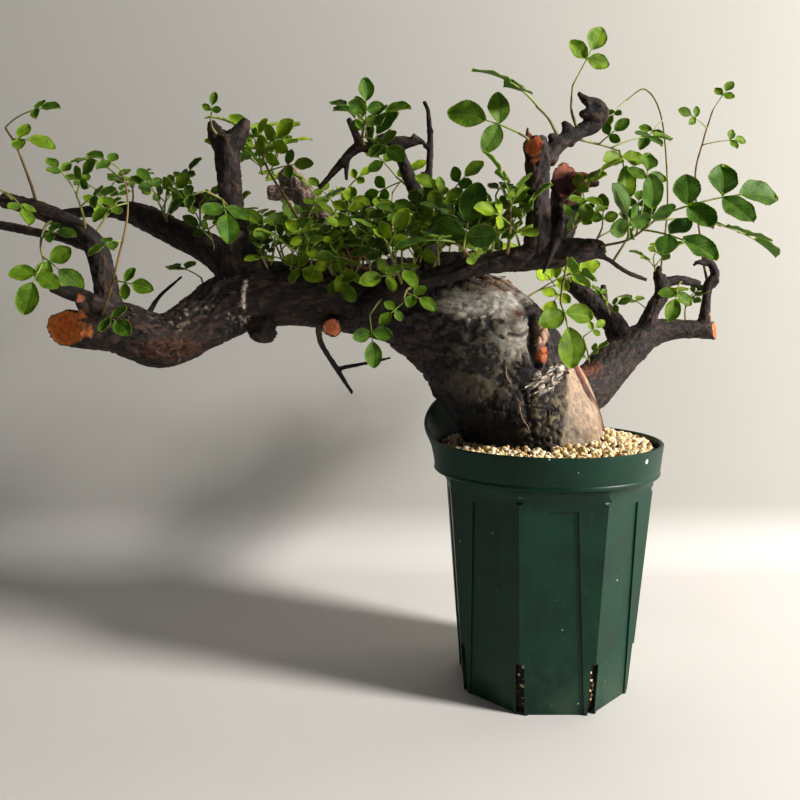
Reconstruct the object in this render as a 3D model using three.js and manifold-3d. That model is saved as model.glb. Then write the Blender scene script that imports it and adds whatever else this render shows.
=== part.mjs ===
// A commiphora bonsai in a plastic nursery pot. A fat trunk leans out of fine gravel and sends one long
// limb far to the left; pruned stubs, bare twigs and leafy shoots grow from both.
// Lengths are millimetres, +Z is up. The origin is the centre of the pot's underside, on the surface it
// stands on. One flat side of the eight-sided pot faces -Y, the side the tree is seen from.
import * as THREE from "three";
import Module from "manifold-3d";

const wasm = await Module();
wasm.setup();

// Driving sizes of the pot
const POT_HEIGHT = 132;
const RIM_RADIUS = 60;
const BAND_HEIGHT = 17.5;
const BAND_TAPER = 1.2;
const BODY_TOP_RADIUS = 55.8;
const BODY_BASE_RADIUS = 46.6;
const BODY_TOP = POT_HEIGHT - BAND_HEIGHT;
const LEDGE = 2;
const WALL = 1.9;
const FLOOR = 2.4;
const SIDES = 8;
const POT_RING = 32;
const PANEL_DEPTH = 0.8;
const PANEL_TOP_WIDTH = 14;
const PANEL_BASE_WIDTH = 28;
const PANEL_TOP_Z = 105;
const SLIT_WIDTH = 4.2;
const SLIT_HEIGHT = 27;
const SLIT_REACH = 12;

// The rim is pulled up and out at the back left, where it was once stretched
const LIP_ANGLE = THREE.MathUtils.degToRad(-125);
const LIP_SPREAD = THREE.MathUtils.degToRad(21);
const LIP_RISE = 20;
const FLARE_ANGLE = THREE.MathUtils.degToRad(-108);
const FLARE_SPREAD = THREE.MathUtils.degToRad(16);
const LIP_FLARE = 6;

// Gravel
const GAP = 0.35;
const GRAVEL_LEVEL = 129;
const GRAVEL_HEAP = 4;
const GRAVEL_RING = 32;
const GRAIN_RELIEF = 1.1;
const GRAIN_RINGS = 4;
const TRUNK_CLEAR = 26;

// Shoots: a slim stem tapers by STEM_TAPER of its radius
const STEM_SIDES = 3;
const STEM_TAPER = 0.35;

// Leaves: one even blade of stalk and leaflets, arched over its length by LEAF_ARCH radians
const BLADE = 0.7;
const STALK_WIDTH = 1.0;
const LEAF_ARCH = 0.7;
const LEAF_ROLL = 0.7;

// Leaflets, as shares of their own length: half width, cup of the edges, droop of the tip, edge wave.
// An outline is [share of the way along, share of the half width].
const LEAFLET_WIDTH = 0.36;
const CUP = 0.07;
const TIP_DROOP = 0.035;
const EDGE_WAVE = 0.16;
const LARGE_LEAFLET = 15;
const LARGE_OUTLINE = [[0.2, 0.72], [0.52, 1], [0.84, 0.62]];
const SMALL_OUTLINE = [[0.28, 0.92], [0.74, 0.84]];
const RIB_SHARE = 0.46;

// Pairs of leaflets behind the end one, as shares of its length, and how far they spread in radians
const END_STALK = 1.35;
const PAIR_SPACING = 0.72;
const PAIR_SIZE = 0.72;
const PAIR_SPREAD = 1.15;

// Swellings of the wood, as a share of its radius
const TRUNK_SIDES = 12;
const TRUNK_RELIEF = 0.05;
const BRANCH_RELIEF = 0.07;

// The way that the cut at the end of the long limb looks
const LIMB_CUT = [-0.35, -0.93, 0.1];

const UPRIGHT = new THREE.Vector3(0, 0, 1);

// The way the upper face of a leaf looks
const UP = new THREE.Vector3(0.15, -0.45, 0.88).normalize();
const FRONT = new THREE.Vector3(0.1, -0.88, 0.46).normalize();
const SIDE = new THREE.Vector3(0.8, -0.55, 0.2).normalize();

// The trunk and its long left limb, from below the gravel to the cut end: [x, y, z, radius]
const TRUNK = [
  [0, 5, 86, 30], [-1, 4, 128, 34], [-15, 3, 152, 35], [-35, 0, 183, 34.5], [-71, -4, 201, 24],
  [-99, -8, 205, 18], [-127, -13, 208, 16.4], [-154, -19, 205, 16], [-175, -25, 193, 13.9],
  [-192, -31, 185, 13], [-210, -37, 190, 12.5], [-223, -43, 190, 9], [-232, -47, 191, 8.4],
];

const BRANCHES = {
  backFork: { sides: 7, line: [
    [-154, -16, 209, 12], [-165, -6, 223, 9], [-179, 6, 232, 8], [-200, 20, 242, 7.2],
    [-221, 32, 252, 6.8], [-240, 42, 256, 4.5], [-259, 50, 256, 3.2], [-282, 56, 255, 2.6],
  ] },
  riser: { sides: 6, line: [
    [-214, -38, 195, 6.5], [-216, -37, 209, 5.6], [-219, -36, 224, 5.3], [-223, -36, 233, 5],
    [-233, -37, 240, 4.6], [-244, -38, 245, 4.2], [-256, -39, 249, 3.8], [-262, -40, 250, 3.8],
  ] },
  rearTwig: { sides: 6, line: [
    [-221, -34, 228, 3], [-245, -18, 235, 2.2], [-268, -10, 240, 2.4], [-284, -6, 243, 2.4],
  ] },
  frontSpur: { sides: 6, line: [
    [-214, -42, 198, 5], [-223, -46, 205, 3.8], [-232, -48, 208, 3], [-237, -49, 210, 2.4],
  ] },
  pinkStub: { sides: 6, line: [
    [-221, -46, 196, 3.4], [-223, -51, 204, 2.6],
  ] },
  mast: { sides: 7, line: [
    [-156, -20, 209, 9], [-157, -24, 228, 7], [-158, -25, 245, 6.1], [-159, -25, 264, 5.8],
    [-160, -25, 280, 6.2], [-160, -25, 286, 6.6],
  ] },
  rearStub: { sides: 6, cut: [-0.85, -0.5, 0.1], line: [
    [-147, -12, 213, 6], [-153, 8, 229, 5.2], [-161, 20, 244, 4.6], [-178, 26, 257, 4.3],
    [-200, 28, 261, 4.5],
  ] },
  rearKnob: { sides: 7, line: [
    [-102, -4, 210, 11], [-109, 18, 225, 9], [-120, 42, 246, 7.6], [-133, 58, 266, 7.2],
    [-144, 66, 281, 7],
  ] },
  rearKnobSide: { sides: 6, line: [
    [-136, 60, 269, 5], [-155, 64, 269, 4.4],
  ] },
  centralTwig: { sides: 6, line: [
    [-62, -14, 219, 6], [-65, -15, 241, 4.2], [-70, -16, 258, 3.6], [-74, -18, 268, 3.1],
    [-79, -20, 278, 2.9], [-85, -20, 282, 2.6], [-90, -20, 278, 2.6], [-97, -20, 278, 2.6],
    [-103, -20, 273, 2.3], [-110, -18, 266, 1.7], [-117, -16, 259, 1.2],
  ] },
  centralSpike: { sides: 5, line: [
    [-82, -20, 280, 2.6], [-74, -20, 280, 3.2], [-69, -20, 280, 0.8],
  ] },
  centralUpSpur: { sides: 5, line: [
    [-96, -20, 278, 2.2], [-98, -21, 283, 1.9], [-102, -22, 291, 1.3],
  ] },
  centralDownSpur: { sides: 5, line: [
    [-103, -20, 273, 1.6], [-103, -21, 262, 1.0],
  ] },
  uprightTwig: { sides: 6, line: [
    [-65, -15, 246, 2.6], [-63, -14, 264, 2.0], [-62, -13, 280, 1.7], [-63, -9, 297, 1.3],
    [-65, -6, 303, 1.2],
  ] },
  frontBranch: { sides: 7, line: [
    [-93, -22, 202, 6], [-77, -38, 208, 4.9], [-59, -46, 215, 4.6], [-38, -50, 220, 4.8],
    [-18, -52, 223, 6], [-2, -52, 225, 6], [12, -50, 227, 4.4], [16, -49, 227, 2.5],
  ] },
  tallStub: { sides: 7, cut: [-0.3, 0.2, 0.93], line: [
    [-15, -52, 224, 6.2], [-15, -53, 237, 5.7], [-16, -54, 252, 5.3], [-16, -55, 265, 5.5],
    [-18, -57, 273, 5.6],
  ] },
  tallStubCut: { sides: 6, line: [
    [-16, -54, 270, 5], [-19, -61, 270, 4.7],
  ] },
  limbKnob: { sides: 6, line: [
    [-111, -16, 193, 5.2], [-110, -30, 191, 4.8],
  ] },
  hook: { sides: 6, line: [
    [-12, -53, 266, 4.4], [-7, -51, 274, 4], [0, -49, 280, 3.4], [7, -47, 284, 3.4],
    [13, -46, 287, 3.6], [14, -46, 291, 3.3], [11, -46, 294, 2.4], [5, -46, 294, 1.2],
  ] },
  wideStub: { sides: 8, cut: [0.2, -0.82, 0.53], line: [
    [-5, -46, 225, 6.4], [-2, -38, 235, 7], [0, -36, 245, 7.3], [1, -36, 259, 7],
  ] },
  hangingSpur: { sides: 5, line: [
    [-3, -48, 239, 1.8], [-9, -60, 226, 1.4], [-14, -61, 215, 0.9],
  ] },
  rightTwig: { sides: 5, line: [
    [4, -52, 225, 3], [16, -50, 223, 1.8], [26, -48, 217, 1.6], [37, -46, 213, 1.5],
  ] },
  rightLimb: { sides: 8, cut: [0.85, -0.52, 0.1], line: [
    [-6, 14, 148, 17], [12, 34, 150, 15], [36, 58, 153, 13.5], [54, 74, 167, 12.8],
    [69, 82, 178, 11.4], [84, 86, 186, 8], [104, 88, 188, 6], [124, 90, 187, 5.8],
  ] },
  rightInnerStub: { sides: 6, line: [
    [66, 82, 176, 9], [57, 86, 193, 7], [47, 88, 203, 6], [36, 90, 213, 5.3], [29, 92, 219, 4.5],
  ] },
  rightThinSpur: { sides: 5, line: [
    [52, 87, 199, 3], [51, 87, 216, 2],
  ] },
  rightRiser: { sides: 6, line: [
    [77, 84, 184, 6.5], [81, 84, 199, 4.8], [87, 84, 211, 4.6], [85, 84, 222, 4],
  ] },
  rightBridge: { sides: 6, line: [
    [86, 84, 216, 3.6], [99, 86, 219, 3], [112, 88, 216, 2.6],
  ] },
  rightMast: { sides: 6, line: [
    [116, 89, 189, 4], [117, 89, 206, 3], [118, 89, 216, 3], [122, 89, 222, 3], [119, 89, 229, 2.6],
    [114, 89, 233, 1.8],
  ] },
  underTwig: { sides: 5, line: [
    [-116, -6, 201, 3.4], [-122, 28, 184, 2.2], [-113, 42, 165, 2], [-105, 48, 151, 1.4],
  ] },
  underSideTwig: { sides: 5, line: [
    [-113, 42, 166, 1.8], [-97, 46, 169, 1.5], [-82, 50, 172, 1.1],
  ] },
  limbTwig: { sides: 5, line: [
    [-202, -30, 192, 3], [-200, -8, 206, 2], [-192, 6, 217, 1.4],
  ] },
};

// Leafy shoots. A stem runs from inside the wood outwards. A leaf is [share of the way along the stem,
// tip x, y, z, count of leaflets, length of its end leaflet, the way its upper face looks].
const SHOOTS = [
  {
    name: "far_left", radius: 1.1,
    stem: [[-241, -38, 245], [-246, -38, 248], [-249, -37, 257], [-255, -36, 274], [-260, -36, 283]],
    leaves: [
      [0.86, -239, -32, 275, 3, 12, FRONT],
      [1, -230, -46, 290, 3, 9, FRONT],
    ],
  },
  {
    name: "left_edge", radius: 0.9,
    stem: [[-256, -39, 249], [-256, -48, 252], [-259, -54, 255]],
    leaves: [
      [1, -263, -56, 267, 3, 8, FRONT],
      [0.5, -240, -60, 236, 3, 9, UP],
    ],
  },
  {
    name: "left_hanging", radius: 1.0,
    stem: [[-237, -37, 242], [-240, -44, 238], [-241, -48, 229], [-239, -50, 221]],
    leaves: [
      [0.9, -224, -44, 208, 3, 14, FRONT],
      [1, -244, -62, 197, 3, 15, FRONT],
      [0.5, -225, -46, 233, 3, 9, FRONT],
    ],
  },
  {
    name: "left_crown", radius: 0.9,
    stem: [[-225, -36, 234], [-223, -42, 240], [-223, -46, 247], [-225, -46, 253]],
    leaves: [
      [1, -239, -42, 268, 3, 8, UP],
      [0.85, -211, -56, 265, 3, 9, FRONT],
      [0.6, -203, -54, 252, 3, 9, FRONT],
    ],
  },
  {
    name: "left_twig", radius: 1.4,
    stem: [
      [-217, -44, 194], [-210, -52, 204], [-204, -54, 221], [-200, -52, 239],
      [-200, -50, 252], [-203, -48, 262],
    ],
    leaves: [
      [1, -219, -46, 269, 3, 9, FRONT],
      [0.88, -234, -20, 271, 3, 9, UP],
      [0.72, -213, -58, 238, 3, 9, FRONT],
      [0.5, -215, -60, 223, 3, 9, UP],
      [0.1, -196, -64, 188, 3, 11, FRONT],
      [0.3, -187, -58, 208, 3, 10, FRONT],
    ],
  },
  {
    name: "limb_back_fork", radius: 1.0,
    stem: [[-200, 20, 242], [-202, 14, 249], [-204, 8, 257]],
    leaves: [
      [1, -214, 10, 273, 3, 9, UP],
      [0.7, -184, -2, 268, 3, 10, FRONT],
      [0.4, -183, 20, 280, 3, 9, UP],
    ],
  },
  {
    name: "limb_back_end", radius: 1.0,
    stem: [[-240, 42, 256], [-243, 38, 260], [-246, 34, 266]],
    leaves: [
      [1, -263, 34, 273, 3, 9, UP],
      [0.55, -231, 48, 280, 3, 9, UP],
    ],
  },
  {
    name: "mast_front", radius: 1.0,
    stem: [[-158, -25, 246], [-161, -34, 251], [-167, -40, 254]],
    leaves: [
      [1, -185, -36, 244, 3, 11, FRONT],
      [0.5, -155, -50, 229, 3, 15, FRONT],
    ],
  },
  {
    name: "mast_top", radius: 0.9,
    stem: [[-162, -26, 280], [-165, -31, 284], [-165, -35, 287]],
    leaves: [
      [1, -162, -36, 299, 3, 6, FRONT],
    ],
  },
  {
    name: "long_shoot", radius: 1.2,
    stem: [
      [-109, -16, 212], [-112, -26, 221], [-121, -24, 234], [-132, -14, 252],
      [-144, 0, 270], [-150, 6, 284],
    ],
    leaves: [
      [0.25, -98, -44, 203, 3, 10, FRONT],
      [1, -165, 6, 299, 3, 12, FRONT],
      [0.93, -129, 12, 296, 3, 12, UP],
      [0.8, -120, -10, 272, 3, 10, FRONT],
      [0.86, -159, -14, 273, 3, 10, FRONT],
      [0.5, -141, -32, 241, 3, 10, FRONT],
    ],
  },
  {
    name: "limb_top_left", radius: 1.0,
    stem: [[-132, -14, 212], [-134, -22, 222], [-137, -28, 231]],
    leaves: [
      [1, -152, -28, 246, 3, 11, UP],
      [0.75, -114, -46, 236, 3, 10, UP],
      [0.5, -113, -40, 213, 3, 12, FRONT],
      [0.6, -150, -38, 222, 3, 9, UP],
    ],
  },
  {
    name: "back_knob", radius: 1.0,
    stem: [[-122, 44, 249], [-124, 34, 254], [-123, 26, 260]],
    leaves: [
      [1, -138, 24, 274, 3, 10, UP],
      [0.5, -106, 20, 264, 3, 11, UP],
    ],
  },
  {
    name: "limb_top_mid", radius: 1.1,
    stem: [[-101, -20, 211], [-100, -28, 221], [-103, -32, 230], [-104, -33, 236]],
    leaves: [
      [1, -118, -34, 250, 3, 11, UP],
      [0.85, -100, -22, 258, 3, 10, FRONT],
      [0.62, -82, -28, 239, 3, 11, UP],
      [0.4, -116, -46, 223, 3, 10, FRONT],
    ],
  },
  {
    name: "front_fork", radius: 1.0,
    stem: [[-75, -39, 209], [-78, -50, 216], [-81, -54, 224], [-83, -55, 229]],
    leaves: [
      [1, -98, -58, 239, 3, 10, UP],
      [0.85, -73, -62, 243, 3, 11, FRONT],
      [0.5, -70, -66, 209, 3, 11, FRONT],
      [0.3, -95, -62, 211, 3, 11, FRONT],
    ],
  },
  {
    name: "front_hanging", radius: 0.9,
    stem: [[-85, -31, 206], [-87, -42, 203], [-91, -50, 197]],
    leaves: [
      [1, -89, -54, 173, 3, 12, FRONT],
    ],
  },
  {
    name: "front_hanging_small", radius: 0.9,
    stem: [[-71, -41, 210], [-74, -54, 208], [-76, -58, 202]],
    leaves: [
      [1, -86, -60, 193, 3, 7, FRONT],
      [0.6, -61, -60, 199, 3, 9, FRONT],
    ],
  },
  {
    name: "central_crown", radius: 1.1,
    stem: [[-94, -20, 278], [-95, -28, 280], [-94, -35, 283], [-93, -38, 286]],
    leaves: [
      [0.92, -110, -24, 297, 3, 11, FRONT],
      [1, -93, -38, 305, 3, 11, FRONT],
      [0.75, -72, -46, 290, 3, 12, FRONT],
      [0.4, -75, -50, 266, 3, 11, FRONT],
    ],
  },
  {
    name: "central_back", radius: 1.0,
    stem: [[-68, -15, 255], [-74, -2, 263], [-79, 10, 269]],
    leaves: [
      [1, -95, 22, 286, 3, 12, FRONT],
      [0.7, -95, 14, 257, 3, 11, FRONT],
    ],
  },
  {
    name: "central_right", radius: 1.0,
    stem: [[-64, -15, 236], [-59, -26, 242], [-55, -32, 247], [-54, -33, 252]],
    leaves: [
      [1, -38, -36, 268, 3, 11, FRONT],
      [0.85, -70, -38, 261, 3, 10, FRONT],
      [0.6, -40, -46, 243, 3, 10, FRONT],
    ],
  },
  {
    name: "front_left_leaves", radius: 1.1,
    stem: [[-43, -50, 219], [-48, -60, 225], [-53, -66, 228]],
    leaves: [
      [1, -80, -72, 224, 3, 16, UP],
      [0.6, -43, -66, 254, 3, 18, FRONT],
    ],
  },
  {
    name: "front_mid_leaves", radius: 1.1,
    stem: [[-29, -51, 222], [-29, -60, 228], [-29, -64, 237], [-29, -64, 244]],
    leaves: [
      [1, -42, -73, 265, 3, 11, UP],
      [0.85, -22, -78, 255, 3, 10, UP],
      [0.62, -46, -76, 242, 3, 10, FRONT],
      [0.42, -20, -80, 230, 3, 10, FRONT],
    ],
  },
  {
    name: "stub_leaf", radius: 1.0,
    stem: [[-18, -57, 270], [-22, -62, 273], [-26, -63, 275]],
    leaves: [
      [1, -57, -66, 283, 3, 17, FRONT],
    ],
  },
  {
    name: "hook_leaf", radius: 0.9,
    stem: [[2, -49, 281], [0, -47, 289], [1, -44, 300]],
    leaves: [
      [1, 15, -38, 327, 3, 14, FRONT],
    ],
  },
  {
    name: "hook_left_leaf", radius: 1.0,
    stem: [[-6, -51, 275], [-12, -58, 282], [-18, -60, 287]],
    leaves: [
      [1, -47, -70, 299, 3, 18, UP],
    ],
  },
  {
    name: "hook_right", radius: 0.9,
    stem: [[-3, -50, 277], [6, -44, 276], [17, -38, 275], [25, -36, 273]],
    leaves: [
      [0.6, 27, -44, 285, 3, 8, FRONT],
      [1, 27, -40, 250, 3, 15, FRONT],
      [0.85, 53, -24, 280, 3, 12, UP],
    ],
  },
  {
    name: "right_shoot", radius: 1.4,
    stem: [[11, -51, 227], [15, -54, 228], [24, -58, 230], [31, -60, 235], [37, -60, 240]],
    leaves: [
      [0.5, 14, -68, 253, 3, 15, FRONT],
      [0.8, 28, -74, 256, 3, 15, FRONT],
      [1, 91, -56, 250, 5, 21, FRONT],
      [0.9, 99, -40, 224, 5, 16, UP],
      [0.7, 57, -76, 220, 3, 17, FRONT],
      [0.62, 37, -40, 270, 3, 12, UP],
    ],
  },
  {
    name: "right_back_leaf", radius: 0.9,
    stem: [[100, 86, 218], [95, 76, 216], [91, 68, 212]],
    leaves: [
      [1, 84, 62, 193, 3, 14, FRONT],
    ],
  },
  {
    name: "stub_right", radius: 1.0,
    stem: [[3, -34, 253], [6, -44, 254], [8, -50, 256]],
    leaves: [
      [1, 22, -56, 264, 3, 10, UP],
      [0.5, 4, -62, 237, 3, 10, FRONT],
    ],
  },
  {
    name: "trunk_hanging", radius: 1.0,
    stem: [[-2, -52, 225], [-4, -64, 219], [-7, -70, 209], [-8, -72, 202]],
    leaves: [
      [1, -3, -76, 174, 3, 18, FRONT],
      [0.5, 3, -84, 211, 3, 11, SIDE],
    ],
  },
  {
    name: "back_upright", radius: 1.0,
    stem: [[32, 91, 216], [27, 80, 221], [21, 70, 225]],
    leaves: [
      [1, 45, 58, 234, 3, 14, FRONT],
      [0.75, -5, 52, 225, 3, 13, FRONT],
      [0.5, 11, 66, 194, 3, 13, FRONT],
    ],
  },
  {
    name: "front_tip", radius: 0.9,
    stem: [[10, -49, 227], [14, -44, 232], [17, -40, 237]],
    leaves: [
      [1, 17, -38, 253, 3, 9, UP],
      [0.5, 36, -24, 238, 3, 9, UP],
    ],
  },
  {
    name: "far_right_shoot", radius: 1.1,
    stem: [[118, 89, 214], [117, 100, 239], [114, 108, 284], [119, 110, 309], [124, 110, 327]],
    leaves: [
      [1, 137, 112, 346, 3, 9, FRONT],
      [0.85, 100, 104, 327, 3, 9, FRONT],
      [0.72, 147, 112, 309, 3, 9, FRONT],
    ],
  },
  {
    name: "arching_shoot", radius: 1.0,
    stem: [
      [86, 84, 213], [89, 92, 230], [94, 100, 270], [90, 104, 320],
      [79, 104, 339], [66, 102, 332],
    ],
    leaves: [
      [0.6, 74, 96, 300, 3, 11, UP],
      [1, 54, 98, 314, 3, 8, UP],
    ],
  },
  {
    name: "limb_rear", radius: 1.0,
    stem: [[-176, -18, 200], [-178, -4, 210], [-182, 8, 216]],
    leaves: [
      [1, -204, 22, 222, 3, 11, UP],
    ],
  },
  {
    name: "trunk_rear", radius: 1.1,
    stem: [[-42, 16, 205], [-44, 32, 216], [-48, 44, 228]],
    leaves: [
      [1, -72, 56, 240, 3, 13, UP],
      [0.7, -24, 62, 240, 3, 13, UP],
    ],
  },
  {
    name: "right_limb_rear", radius: 1.0,
    stem: [[84, 90, 188], [88, 102, 194], [94, 112, 202]],
    leaves: [
      [1, 118, 124, 214, 3, 12, UP],
      [0.6, 72, 128, 210, 3, 12, UP],
    ],
  },
  {
    name: "rear_knob_back", radius: 1.0,
    stem: [[-133, 62, 264], [-138, 74, 268], [-142, 84, 274]],
    leaves: [
      [1, -166, 94, 286, 3, 12, UP],
    ],
  },
  {
    name: "trunk_crown", radius: 1.0,
    stem: [[-42, -8, 208], [-42, -10, 222], [-45, -12, 232]],
    leaves: [
      [1, -28, -16, 252, 3, 11, FRONT],
    ],
  },
];

// Makes a solid of a closed geometry.
function solidOf(geometry) {
  const vertProperties = geometry.getAttribute("position").array;
  const triVerts = new Uint32Array(geometry.getIndex().array);
  return new wasm.Manifold(new wasm.Mesh({ numProp: 3, vertProperties, triVerts }));
}

function join(solids) {
  return solids.reduce((joined, solid) => joined.add(solid));
}

// A repeatable stream of numbers from 0 to 1.
function randomStream(seed) {
  let state = seed >>> 0;
  return () => {
    state = (state + 0x6d2b79f5) >>> 0;
    let mixed = Math.imul(state ^ (state >>> 15), state | 1);
    mixed ^= mixed + Math.imul(mixed ^ (mixed >>> 7), mixed | 61);
    return ((mixed ^ (mixed >>> 14)) >>> 0) / 4294967296;
  };
}

function middle(ring) {
  const sum = new THREE.Vector3();
  ring.forEach((point) => sum.add(point));
  return sum.divideScalar(ring.length);
}

// A closed surface over rings of equal count: a band joins each two, and a fan closes each end.
function loft(rings) {
  const count = rings[0].length;
  const top = (rings.length - 1) * count;
  const points = rings.flat();
  const triangles = [];
  for (let ring = 0; ring < top; ring += count) {
    for (let i = 0; i < count; i++) {
      const here = ring + i;
      const next = ring + ((i + 1) % count);
      triangles.push(here, next, next + count);
      triangles.push(here, next + count, here + count);
    }
  }
  const first = points.push(middle(rings[0])) - 1;
  const last = points.push(middle(rings.at(-1))) - 1;
  for (let i = 0; i < count; i++) {
    const next = (i + 1) % count;
    triangles.push(first, next, i);
    triangles.push(last, top + i, top + next);
  }
  return new THREE.BufferGeometry().setFromPoints(points).setIndex(triangles);
}

// Rings along a smooth line of [x, y, z, radius] points. cut is the way that the face at the line's end
// looks, where it isn't square to the line. grow adds a clearance all round and at both ends.
function limbRings(line, { sides, perSpan = 2, relief = 0, grow = 0, cut }) {
  const centre = new THREE.CatmullRomCurve3(
    line.map(([x, y, z]) => new THREE.Vector3(x, y, z)), false, "catmullrom",
  );
  const girth = new THREE.SplineCurve(line.map((point, i) => new THREE.Vector2(i, point[3])));
  const steps = (line.length - 1) * perSpan;
  const normal = new THREE.Vector3(0.12, -0.98, 0.17);
  const rings = [];
  for (let step = 0; step <= steps; step++) {
    const t = step / steps;
    const along = centre.getTangent(t);
    const at = centre.getPoint(t);
    if (step === 0) at.addScaledVector(along, -grow);
    if (step === steps) at.addScaledVector(along, grow);
    normal.addScaledVector(along, -normal.dot(along)).normalize();
    const across = new THREE.Vector3().crossVectors(along, normal);
    const radius = girth.getPoint(t).y;
    const ring = [];
    for (let side = 0; side < sides; side++) {
      const angle = (2 * Math.PI * side) / sides;
      const swell = 1 + relief * lumps(angle, t * (line.length - 1));
      const reach = radius * swell + grow;
      ring.push(
        at.clone()
          .addScaledVector(normal, reach * Math.cos(angle))
          .addScaledVector(across, reach * Math.sin(angle)),
      );
    }
    if (cut && step === steps) slant(ring, at, along, new THREE.Vector3(...cut));
    rings.push(ring);
  }
  return rings;
}

// Slides a ring's points along the wood until they lie on the plane of a cut through its centre.
function slant(ring, centre, along, facing) {
  for (const point of ring) {
    const above = point.clone().sub(centre).dot(facing);
    point.addScaledVector(along, -above / along.dot(facing));
  }
}

// Low swellings of old wood, for an angle round the limb and a count of spans along it.
function lumps(angle, span) {
  return 0.6 * Math.sin(3 * angle + 2.1 * span) + 0.4 * Math.sin(5 * angle - 3.3 * span + 1);
}

// Pot

// Radius of the eight-sided body at an angle from the front, for a corner radius.
function bodyReach(angle, cornerRadius) {
  const step = (2 * Math.PI) / SIDES;
  const fromFlat = angle - Math.round(angle / step) * step;
  return (cornerRadius * Math.cos(step / 2)) / Math.cos(fromFlat);
}

function cornerRadiusAt(z) {
  return THREE.MathUtils.mapLinear(z, 0, BODY_TOP, BODY_BASE_RADIUS, BODY_TOP_RADIUS);
}

// A ring seen from above runs anticlockwise from the front.
function ringAt(count, z, reach, lift = 0) {
  const ring = [];
  for (let i = 0; i < count; i++) {
    const angle = (2 * Math.PI * i) / count;
    const stretch = lift * bump(angle, LIP_ANGLE, LIP_SPREAD);
    const flare = lift * bump(angle, FLARE_ANGLE, FLARE_SPREAD);
    const radius = reach(angle) + LIP_FLARE * flare;
    ring.push(
      new THREE.Vector3(radius * Math.sin(angle), -radius * Math.cos(angle), z + LIP_RISE * stretch),
    );
  }
  return ring;
}

function bump(angle, centre, spread) {
  const turn = Math.atan2(Math.sin(angle - centre), Math.cos(angle - centre));
  return Math.exp(-((turn / spread) ** 2));
}

function potShell() {
  const wallAtCorner = WALL / Math.cos(Math.PI / SIDES);
  const body = (z, inset) => (angle) => bodyReach(angle, cornerRadiusAt(z) - inset);
  const round = (radius) => () => radius;
  return solidOf(loft([
    ringAt(POT_RING, 0, body(0, 0)),
    ringAt(POT_RING, BODY_TOP, body(BODY_TOP, 0)),
    ringAt(POT_RING, BODY_TOP + LEDGE, round(RIM_RADIUS - BAND_TAPER)),
    ringAt(POT_RING, POT_HEIGHT, round(RIM_RADIUS), 1),
    ringAt(POT_RING, POT_HEIGHT, round(RIM_RADIUS - WALL), 1),
    ringAt(POT_RING, BODY_TOP + 2 * LEDGE, round(RIM_RADIUS - BAND_TAPER - WALL)),
    ringAt(POT_RING, BODY_TOP + LEDGE, body(BODY_TOP, wallAtCorner)),
    ringAt(POT_RING, FLOOR, body(FLOOR, wallAtCorner)),
  ]));
}

// A block across one flat side: six corners of a taper, from z0 to z1, between two depths from the wall.
function flatSideBlock(angle, [z0, width0], [z1, width1], inner, outer) {
  const wallAt = (z) => cornerRadiusAt(z) * Math.cos(Math.PI / SIDES);
  const level = (z, width) => {
    const near = wallAt(z) + outer;
    const far = wallAt(z) + inner;
    return [[-width / 2, near], [width / 2, near], [width / 2, far], [-width / 2, far]].map(
      ([across, out]) => new THREE.Vector3(across, -out, z).applyAxisAngle(UPRIGHT, angle),
    );
  };
  return solidOf(loft([level(z0, width0), level(z1, width1)]));
}

// A slot through one corner, up the wall and in under the floor.
function cornerSlit(angle) {
  const outside = BODY_TOP_RADIUS + 5;
  const inside = BODY_BASE_RADIUS - SLIT_REACH;
  const half = SLIT_WIDTH / 2;
  const level = (z) =>
    [[-half, outside], [half, outside], [half, inside], [-half, inside]].map(([across, out]) =>
      new THREE.Vector3(across, -out, z).applyAxisAngle(UPRIGHT, angle),
    );
  return solidOf(loft([level(-1), level(SLIT_HEIGHT)]));
}

function potSolid() {
  let pot = potShell();
  for (let side = 0; side < SIDES; side++) {
    const flat = (2 * Math.PI * side) / SIDES;
    const base = [-1, PANEL_BASE_WIDTH];
    const head = [PANEL_TOP_Z, PANEL_TOP_WIDTH];
    pot = pot.subtract(flatSideBlock(flat, base, head, -PANEL_DEPTH, 3));
    pot = pot.subtract(cornerSlit(flat + Math.PI / SIDES));
  }
  return pot;
}

// Gravel: fills the pot, heaps up to the trunk and shows its grains as relief

function gravelSolid(trunkHole) {
  const random = randomStream(7);
  const inset = WALL / Math.cos(Math.PI / SIDES) + GAP;
  const body = (z, more = 0) => (angle) => bodyReach(angle, cornerRadiusAt(z) - inset - more);
  const edge = RIM_RADIUS - BAND_TAPER - WALL - 2 * GAP;
  const rings = [
    ringAt(GRAVEL_RING, FLOOR + GAP, body(FLOOR)),
    ringAt(GRAVEL_RING, BODY_TOP + LEDGE + GAP, body(BODY_TOP)),
    ringAt(GRAVEL_RING, BODY_TOP + 3 * LEDGE, () => edge),
    ringAt(GRAVEL_RING, GRAVEL_LEVEL - 2, () => edge),
  ];
  for (let i = 0; i < GRAIN_RINGS; i++) {
    const radius = edge - 1 - (i * (edge - TRUNK_CLEAR)) / GRAIN_RINGS;
    const heap = GRAVEL_HEAP * (1 - (radius - TRUNK_CLEAR) / (edge - TRUNK_CLEAR));
    const ring = ringAt(GRAVEL_RING, GRAVEL_LEVEL + heap, () => radius + (i ? random() - 0.5 : 0));
    ring.forEach((point) => (point.z += GRAIN_RELIEF * (2 * random() - 1)));
    rings.push(ring);
  }
  return solidOf(loft(rings)).subtract(trunkHole);
}

// Wood: the trunk with every branch that is one with it

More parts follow.
